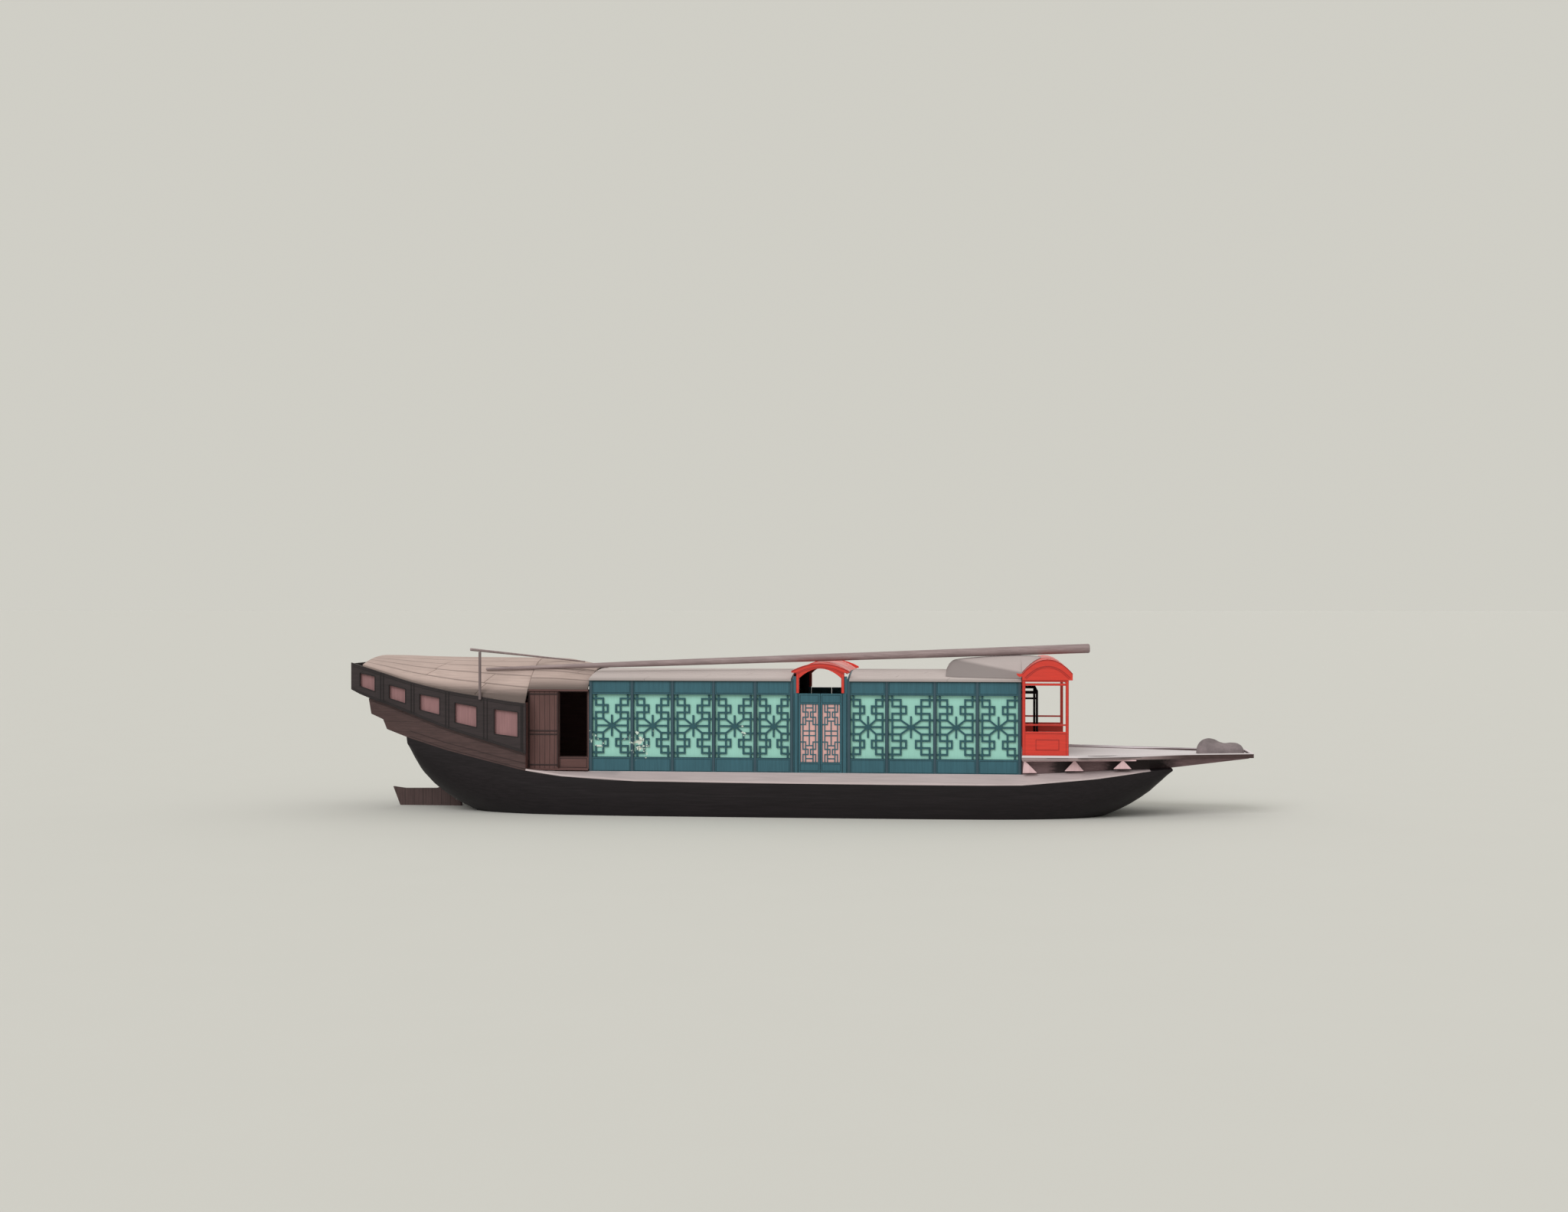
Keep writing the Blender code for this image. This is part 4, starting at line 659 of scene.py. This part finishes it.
def build_wall_trim():
    """Posts between the panels of the teal cabin walls, and beads round the panels."""
    for side, sign in SIDES:
        for label, start, end, posts in RUNS:
            cuts = [start + MULLION / 2.0, *posts, end - MULLION / 2.0]
            batten = Shape()
            bead = Shape()
            face = sign * (WALL_Y - 0.002)
            low_z, high_z = DECK_Z + 0.006, WALL_TOP - 0.006
            for cut in cuts:
                batten.box((cut - 0.026, face, low_z), (cut + 0.026, sign * (WALL_Y + 0.012), high_z))
                for x in (cut - 0.034, cut + 0.026):
                    bead.box((x, face, low_z), (x + 0.008, sign * (WALL_Y + 0.005), high_z))
            for a, b in zip(cuts, cuts[1:]):
                low, high = a + MULLION / 2.0, b - MULLION / 2.0
                for z0, z1 in ((DECK_Z + 0.050, WINDOW_Z[0] - 0.030),
                               (WINDOW_Z[1] + 0.030, WALL_TOP - 0.035)):
                    frame_beads(bead, (low + 0.012, high - 0.012, z0, z1), face,
                                sign * (WALL_Y + 0.004), 0.009)
                for z in (WINDOW_Z[0] - 0.008, WINDOW_Z[1]):
                    bead.box((low, face, z), (high, sign * (WALL_Y + 0.004), z + 0.008))
            batten.make(f"wall_posts_{label}_{side}", "teal_post", bevel=0.003, slot="teal")
            bead.make(f"wall_beads_{label}_{side}", "teal_line", bevel=0.0015, slot="teal")


def boards_over(stations, half, eave, crown, power, courses, joints, skew, gap):
    """Roof boards laid fore and aft over a vault, with slanted butt joints."""
    work = Shape()
    x_low, x_high = stations[0], stations[-1]
    seam = gap / half(0.5 * (x_low + x_high))

    def level(x, v, drop):
        x = min(x_high, max(x_low, x))
        top = crown(x) - (crown(x) - eave(x)) * abs(v) ** power
        return (x, v * half(x), top - drop)

    for course in range(courses):
        v0, v1 = 2.0 * course / courses - 1.0, 2.0 * (course + 1) / courses - 1.0
        middle = 0.5 * (v0 + v1)
        vs = [v0 + seam, v0 + 2.5 * seam, *spread(v0 + 2.5 * seam, v1 - 2.5 * seam, 5)[1:4],
              v1 - 2.5 * seam, v1 - seam]
        from_eave = min(course, courses - 1 - course)
        cuts = [j for j in joints[from_eave % len(joints)] if x_low < j < x_high]
        breaks = [x_low, *cuts, x_high]
        for a, b in zip(breaks, breaks[1:]):
            inside = [x for x in stations if a + 0.15 < x < b - 0.15]
            xs = [a + gap, a + 2.5 * gap, *inside, b - 2.5 * gap, b - gap]
            rows = []
            for i, x in enumerate(xs):
                slanted = (i < 2 and a > x_low) or (i >= len(xs) - 2 and b < x_high)
                lean = skew * half(x) if slanted else 0.0
                lip = 0.005 if i in (0, len(xs) - 1) else 0.0
                ring = [level(x - lean * (abs(v) - abs(middle)), v, 0.005 if v in (vs[0], vs[-1])
                              else lip) for v in vs]
                under = [level(x - lean * (abs(v) - abs(middle)), v, BOARD_THICK)
                         for v in (vs[-1], middle, vs[0])]
                rows.append(ring + under)
            work.loft(rows)
    return work


def under_skin(name, stations, half, eave, crown, power):
    """Smooth lining under the roof boards."""
    work = Shape()
    rows = []
    for x in stations:
        reach = half(x) - 0.004
        ring = [(x, y, camber(y, half(x), eave(x), crown(x), power) - 0.033)
                for y in spread(-reach, reach, 33)]
        rows.append(ring + [(x, y, z - 0.006) for _, y, z in reversed(ring)])
    work.loft(rows)
    work.make(name, "roof_under", smooth=True, slot="roof")


def build_roofs():
    """Boarded roofs and the hood of grey matting."""
    def crown(x):
        return eased(AFT_CROWN, x)

    def eave(x):
        return eased(GALLERY, x, 2) + 0.0403

    xs = sorted(set(spread(*AFT_ROOF_X, 30)) | {row[0] for row in GALLERY[2:-1]})
    aft = boards_over(xs, gallery_y, eave, crown, 2.2, AFT_COURSES, AFT_JOINTS, 0.6, 0.006)
    aft.make("aft_roof_boards", "aft_roof", stands_for=("aft_roof",), smooth=True, slot="roof")
    under_skin("aft_roof_lining", xs, gallery_y, eave, crown, 2.2)
    xs = spread(*DOOR_ROOF_X, 24)
    shape = (lambda x: DOOR_ROOF_HALF, lambda x: DOOR_ROOF_EAVE, crown, 2.2)
    doors = boards_over(xs, *shape, AFT_COURSES, DOOR_JOINTS, 0.6, 0.005)
    doors.make("door_roof_boards", "door_roof", smooth=True, slot="roof")
    under_skin("door_roof_lining", xs, *shape)
    for label, start, end in CABIN_ROOFS:
        xs = spread(start, end, 14)
        shape = (lambda x: CABIN_ROOF_HALF, lambda x: CABIN_EAVE, lambda x: CABIN_CROWN, 2.0)
        roof = boards_over(xs, *shape, 14, CABIN_JOINTS, 0.3, 0.0025)
        roof.make(f"cabin_roof_boards_{label}", "cabin_roof", stands_for=(f"cabin_roof_{label}",),
                  smooth=True, slot="roof")
        under_skin(f"cabin_roof_lining_{label}", xs, *shape)
    build_hood()


def build_hood():
    """Raised hood of matting over the fore end of the cabin and the arch of the portico."""
    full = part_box("fore_hood")[1].z - CABIN_CROWN
    sections = []
    for x in spread(4.03, 5.6353, 36):
        width = eased(HOOD, x, 2)
        sections.append((x, width, full * eased(HOOD, x),
                         lambda y: camber(y, CABIN_ROOF_HALF, CABIN_EAVE, CABIN_CROWN)))
    for x in spread(5.6497, 6.0720, 12):
        seat = 3.386 - 0.299 * ((x - 6.1775) / 0.5275) ** 2
        sections.append((x, eased(HOOD_FORE, x, 2), eased(HOOD_FORE, x), lambda y, z=seat: z))
    rows = []
    for x, width, rise, seat in sections:
        ring = []
        for y in spread(-width, width, 41):
            lift = 0.018 + (rise - 0.018) * (1.0 - (abs(y) / width) ** 2.2)
            ring.append((x, y, seat(y) + max(0.004, lift)))
        rows.append(ring + [(x, y, seat(y) + 0.001) for _, y, _ in reversed(ring)])
    hood = Shape()
    hood.loft(rows)
    hood.make("hood_matting", "grey", stands_for=("fore_hood",), smooth=True, slot="grey")


def arc(x_range, eave, crown, steps=28):
    """Points (x, z) of a low arch."""
    middle, half = sum(x_range) / 2.0, (x_range[1] - x_range[0]) / 2.0
    points = []
    for x in spread(x_range[0], x_range[1], steps + 1):
        points.append((x, crown - (crown - eave) * ((x - middle) / half) ** 2))
    return points


def build_gate_trim():
    """Mouldings on the gate arches, their posts and the rails of the leaves."""
    for side, sign in SIDES:
        face = sign * (WALL_Y + 0.020)
        bead = Shape()
        for drop, wide in ((0.014, 0.010), (0.080, 0.006), (0.108, 0.006)):
            trim = 0.0 if drop < 0.05 else 0.10
            path = [(x, face, z - drop) for x, z in
                    arc((0.745 + trim, 1.975 - trim), 3.118 + 0.35 * trim, 3.285)]
            bead.sweep(path, (0.0, sign, 0.0), (wide, 0.006))
        bead.make(f"gate_arch_beads_{side}", "red_line", bevel=0.002, slot="red")
        posts = Shape()
        for x in (0.851, 1.869):
            for edge in (x - 0.004, x + 0.048 if x < 1.0 else x - 0.056):
                posts.box((edge, sign * WALL_Y, 2.66), (edge + 0.008, face + sign * 0.004, 3.06))
        posts.make(f"gate_post_beads_{side}", "red_line", bevel=0.002, slot="red")
        jamb = Shape()
        for x in (0.797, 0.876, 1.836, 1.915):
            jamb.box((x, sign * (WALL_Y - 0.002), 0.93), (x + 0.010, sign * (WALL_Y + 0.008), 2.635))
        jamb.make(f"gate_jamb_beads_{side}", "teal_line", bevel=0.002, slot="teal")
        cheeks = Shape()
        for low, high in ((GATE_X[0], 0.845), (1.875, GATE_X[1])):
            cheeks.box((low, sign * 1.54, 2.645), (high, sign * (WALL_Y - 0.002), 3.0))
        cheeks.make(f"gate_cheeks_{side}", "teal", bevel=0.002, slot="teal")
        for label, low, high in LEAVES:
            rail = Shape()
            for z0, z1 in ((0.975, 1.135), (2.435, 2.605)):
                frame_beads(rail, (low + 0.030, high - 0.030, z0, z1), sign * (WALL_Y - 0.002),
                            sign * (WALL_Y + 0.004), 0.008)
            frame_beads(rail, (low + LEAF_STILE - 0.003, high - LEAF_STILE + 0.003,
                               LEAF_PANEL_Z[0] - 0.003, LEAF_PANEL_Z[1] + 0.003),
                        sign * (WALL_Y - 0.013), sign * (WALL_Y + 0.003), 0.007)
            rail.make(f"leaf_beads_{label}_{side}", "teal_line", f"gate_door_{label}_{side}",
                      bevel=0.0015, slot="teal")


def build_roof_ends():
    """Cambered boards that close the cabin roofs against the gate's vault."""
    work = Shape()
    for x0, x1 in ((CABIN_ROOFS[0][2] + 0.002, GATE_X[0]), (GATE_X[1], CABIN_ROOFS[1][1] - 0.002)):
        rows = []
        for y in spread(-1.52, 1.52, 33):
            top = camber(y, CABIN_ROOF_HALF, CABIN_EAVE, CABIN_CROWN) - 0.030
            rows.append([(x0, y, top - 0.05), (x1, y, top - 0.05), (x1, y, top), (x0, y, top)])
        work.loft(rows)
    work.make("roof_end_boards", "teal", slot="teal")


def build_portico_trim():
    """Mouldings of the red portico, and the upturned after tips of its arches."""
    for side, sign in SIDES:
        tip = Shape()
        tip.loft([[(x, sign * y, z) for x, z in PORTICO_TIP] for y in PORTICO_Y])
        tip.make(f"portico_tip_{side}", "red", bevel=0.004, slot="red")
        bead = Shape()
        for x_range, eave, crown, wide in PORTICO_BEADS:
            path = [(x, sign * (PORTICO_Y[1] + 0.002), z) for x, z in arc(x_range, eave, crown)]
            bead.sweep(path, (0.0, sign, 0.0), (wide, 0.006))
        bead.make(f"portico_arch_beads_{side}", "red_line", bevel=0.002, slot="red")
        trim = Shape()
        face, proud = sign * 1.698, sign * 1.708
        frame_beads(trim, (5.930, 6.420, 1.465, 1.690), face, proud, 0.010)
        for z in (1.335, 1.812):
            trim.box((5.716, face, z), (6.558, proud, z + 0.010))
        for x in (5.656, 5.703, 6.566, 6.612):
            trim.box((x, face, 1.31), (x + 0.006, proud, 2.93))
        for z in (1.984, 2.006, 2.832, 2.866, 2.910, 2.930):
            trim.box((5.716, face, z), (6.558, sign * 1.704, z + 0.005))
        trim.make(f"portico_beads_{side}", "red_line", bevel=0.002, slot="red")


def build_gallery_trim():
    """Posts, window beads and mouldings of the stern gallery, and the wales of its band."""
    last = len(GALLERY) - 1

    def out(x, proud):
        return gallery_y(x) + proud

    for side, sign in SIDES:
        work = Shape()
        for i in range(1, last, 2):
            (xa, ba, ta, sa, ha), (xb, bb, tb, sb, hb) = GALLERY[i], GALLERY[i + 1]
            corners = [(xa, ba + sa), (xb, bb + sb), (xb, tb - hb), (xa, ta - ha)]
            for (x0, z0), (x1, z1) in zip(corners, corners[1:] + corners[:1]):
                path = [(x0, sign * out(x0, -0.004), z0), (x1, sign * out(x1, -0.004), z1)]
                work.sweep(path, (0.0, sign, 0.0), (0.009, 0.010))
        for i in range(2, last, 2):
            xa, xb = GALLERY[i][0], GALLERY[i + 1][0]
            for share in (0.40, 0.60):
                x = xa + share * (xb - xa)
                low, high = along(GALLERY, x, 1) + 0.02, along(GALLERY, x, 2) - 0.02
                path = [(x, sign * out(x, 0.002), low), (x, sign * out(x, 0.002), high)]
                work.sweep(path, (0.0, sign, 0.0), (0.010, 0.006))
        for column, steps in ((1, (0.022, 0.055)), (2, (-0.022, -0.060))):
            for step in steps:
                path = [(x, sign * out(x, 0.001), eased(GALLERY, x, column) + step)
                        for x in spread(-8.90, -4.99, 30)]
                work.sweep(path, (0.0, sign, 0.0), (0.006, 0.006))
        work.make(f"gallery_beads_{side}", "dark_trim", bevel=0.0015, slot="dark")
        wale = Shape()
        for table, column, step in ((GALLERY, 1, -0.045), (HULL, 3, 0.040), (HULL, 3, 0.160)):
            low = -7.60 if table is HULL else -8.50
            path = [(x, sign * (gallery_y(x) - 0.050), eased(table, x, column) + step)
                    for x in spread(low, -5.0, 28)]
            wale.sweep(path, (0.0, sign, 0.0), (0.007, 0.006))
        wale.make(f"quarter_wales_{side}", "brown_trim", bevel=0.0015, slot="brown")


def build_door_trim():
    """Battens of the sliding doors, beads of their frames and the boards abaft them."""
    for side, sign in SIDES:
        end_board = Shape()
        (x0, x1), (y0, y1), (z0, z1) = GALLERY_END
        end_board.box((x0, sign * y0, z0), (x1, sign * y1, z1))
        end_board.make(f"gallery_end_board_{side}", "sill", slot="brown")
        work = Shape()
        face, proud = sign * 1.653, sign * 1.667
        for z0, z1 in ((1.055, 1.085), (1.715, 1.745), (1.790, 1.820), (2.585, 2.615)):
            work.box((-4.965, face, z0), (-4.335, proud, z1))
        for x in (-4.975, -4.350):
            work.box((x, face, 1.02), (x + 0.025, proud, 2.640))
        work.make(f"door_battens_{side}", "brown_trim", f"sliding_door_{side}", bevel=0.003,
                  slot="brown")
        frame_work = Shape()
        frame_beads(frame_work, (-4.325, -3.685, 1.235, 2.655), sign * 1.598, sign * 1.606, 0.012)
        frame_beads(frame_work, (-4.300, -3.700, 1.010, 1.215), sign * 1.598, sign * 1.606, 0.010)
        frame_work.make(f"doorway_beads_{side}", "brown_trim", bevel=0.002, slot="brown")


def build_deck_trim():
    """Rounded edge rail of the foredeck and a thin strip along its top."""
    for side, sign in SIDES:
        work = Shape()
        path = [(x, sign * (eased(DECK_EDGE, x) - 0.012), 1.300) for x in spread(5.65, 10.52, 40)]
        work.sweep(path, (0.0, sign, 0.0), (0.006, 0.010))
        path = [(x, sign * (eased(DECK_EDGE, x) - 0.055), 1.353) for x in spread(5.65, 10.52, 40)]
        work.sweep(path, (0.0, sign, 0.0), (0.002, 0.006))
        work.make(f"deck_edge_lines_{side}", "board_line", slot="pale")


def build_spars():
    """Round mast and boom with dressed ends."""
    for name, node, a, b, taper, sides in POLES:
        a, b = Vector(a), Vector(b)
        ahead = (b - a).normalized()
        across = Vector((-ahead.y, ahead.x, 0.0)).normalized()
        upward = ahead.cross(across)
        rows = []
        shares = [0.0, 0.0008, 0.002] + spread(0.01, 0.99, 60) + [0.998, 0.9992, 1.0]
        for share in shares:
            radius = eased(taper, share) * (1.0 + 0.012 * math.sin(37.0 * share))
            radius *= 0.82 if share in (0.0, 1.0) else 0.94 if share in (0.0008, 0.9992) else 1.0
            radius = min(radius, along(taper, share))
            bow = Vector((0.0, 0.006 * math.sin(math.pi * share * 2.0), 0.0))
            ring = []
            for step in range(sides):
                turn = math.tau * step / sides
                point = a + (b - a) * share + bow
                point += across * radius * math.cos(turn) + upward * radius * math.sin(turn)
                ring.append(tuple(point))
            rows.append(ring)
        pole = Shape()
        pole.loft(rows)
        pole.make(name, "spar", stands_for=(node,), smooth=True, slot="spar")


def build_stones():
    """Two worn stones lying together on the foredeck."""
    low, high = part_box("anchor_stones")
    rows = []
    for x in spread(STONES[0][0], STONES[-1][0], 68):
        rise, width = eased(STONES, x), eased(STONES, x, 2)
        ring = []
        for turn in spread(0.0, math.pi, 37):
            lump = 1.0 + 0.018 * math.sin(9.0 * x + 5.0 * turn) - 0.018
            ring.append((x, -width * math.cos(turn) * lump,
                         low.z + rise * math.sin(turn) ** 0.8 * lump))
        rows.append(ring)
    lump = Shape()
    lump.loft(rows)
    lump.make("deck_stones", "stone", stands_for=("anchor_stones",), smooth=True, slot="stone")


def dress_nodes():
    """Finishes of the CAD nodes that stay in view."""
    dress("wall", *both("wall_aft"), *both("wall_fore"), bevel=0.002)
    dress("teal", *both("gate_frame"), "front_bulkhead", bevel=0.003)
    dress("mint", *both("panes_aft"), *both("panes_fore"))
    for label, _, _ in LEAVES:
        dress("leaf_" + label, *both("gate_leaf_" + label), bevel=0.001)
    dress("red", *both("gate_arch"), "gate_vault", "portico_roof", *both("portico_screen"),
          "portico_front_rail", bevel=0.004)
    dress("dark", *both("gallery_wall"), "transom", bevel=0.003)
    dress("rose", *both("gallery_panes"))
    dress("brown", *both("quarter_band"), "stern_counter", "rudder_head_block", bevel=0.004)
    dress("sill", *both("aft_door_frame"), bevel=0.004)
    dress("door", *both("aft_door"), bevel=0.003)
    dress("coaming", "fore_coaming", bevel=0.004)
    dress("edge", *both("foredeck_edge"), "foredeck_end_board", bevel=0.006)
    dress("knee", *both("deck_knees"), bevel=0.004)
    dress("deck", "foredeck")
    dress("sole", "cabin_sole")
    dress("spar", "tiller", bevel=0.008)
    dress("post", "boom_post", bevel=0.003)
    dress("rudder", "rudder_blade", "rudder_stock", bevel=0.004)
    # Painted shade: black pieces in the front doorway and behind the gate's arch.
    dress("black", "front_doorway", "gate_partition_aft", bevel=0.003)


# Stage: colours of the backdrop and the floor, lamps as name, power, width and turn in degrees
BACKDROP = (0.630, 0.620, 0.565)
FLOOR = ((0.608, 0.606, 0.586), (0.618, 0.616, 0.596))
FLOOR_REACH = 900.0
LAMP_COLOUR = (1.0, 0.99, 0.97)
LAMPS = (("key", 1.6, 40.0, (52.0, 0.0, -24.0)), ("fill", 0.5, 80.0, (60.0, 0.0, 150.0)))
# Camera fitted to the picture: place in metres, turn in degrees, lens and film in millimetres
CAMERA_PLACE = (4.968, -44.770, 4.620)
CAMERA_TURN = (89.85, 0.0, 5.80)
LENS = 46.53
FILM = 36.0


def build_stage():
    """Pale floor at the waterline, soft light and the camera."""
    mesh = bpy.data.meshes.new("floor")
    far = FLOOR_REACH
    mesh.from_pydata([(-far, -far, 0), (far, -far, 0), (far, far, 0), (-far, far, 0)], [],
                     [(0, 1, 2, 3)])
    floor = bpy.data.objects.new("floor", mesh)
    bpy.context.scene.collection.objects.link(floor)
    f = Finish("pale_floor")
    grain = f.noise((0.6, 0.6, 0.6), 3.0, 0.5)
    colour = f.blend(grain, *FLOOR)
    rough = f.math("ADD", 0.85, f.math("MULTIPLY", grain, 0.05))
    mesh.materials.append(f.done(colour, rough, grain, 0.0005, 0.1))

    world = bpy.data.worlds.new("studio")
    world.use_nodes = True
    backdrop = world.node_tree.nodes["Background"]
    backdrop.inputs["Color"].default_value = (*BACKDROP, 1.0)
    backdrop.inputs["Strength"].default_value = 1.0
    bpy.context.scene.world = world
    for name, power, wide, turn in LAMPS:
        lamp = bpy.data.lights.new(name, "SUN")
        lamp.energy = power
        lamp.angle = math.radians(wide)
        lamp.color = LAMP_COLOUR
        holder = bpy.data.objects.new(name, lamp)
        holder.rotation_euler = [math.radians(angle) for angle in turn]
        bpy.context.scene.collection.objects.link(holder)

    lens = bpy.data.cameras.new("camera")
    lens.sensor_width = FILM
    lens.lens = LENS
    lens.clip_end = 2000.0
    camera = bpy.data.objects.new("camera", lens)
    camera.location = CAMERA_PLACE
    camera.rotation_euler = [math.radians(angle) for angle in CAMERA_TURN]
    bpy.context.scene.collection.objects.link(camera)
    bpy.context.scene.camera = camera
    bpy.context.scene.view_settings.view_transform = "Standard"


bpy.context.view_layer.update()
build_stage()
dress_nodes()
build_hull()
build_wall_trim()
build_roofs()
build_gate_trim()
build_roof_ends()
build_portico_trim()
build_gallery_trim()
build_door_trim()
build_deck_trim()
build_spars()
build_stones()
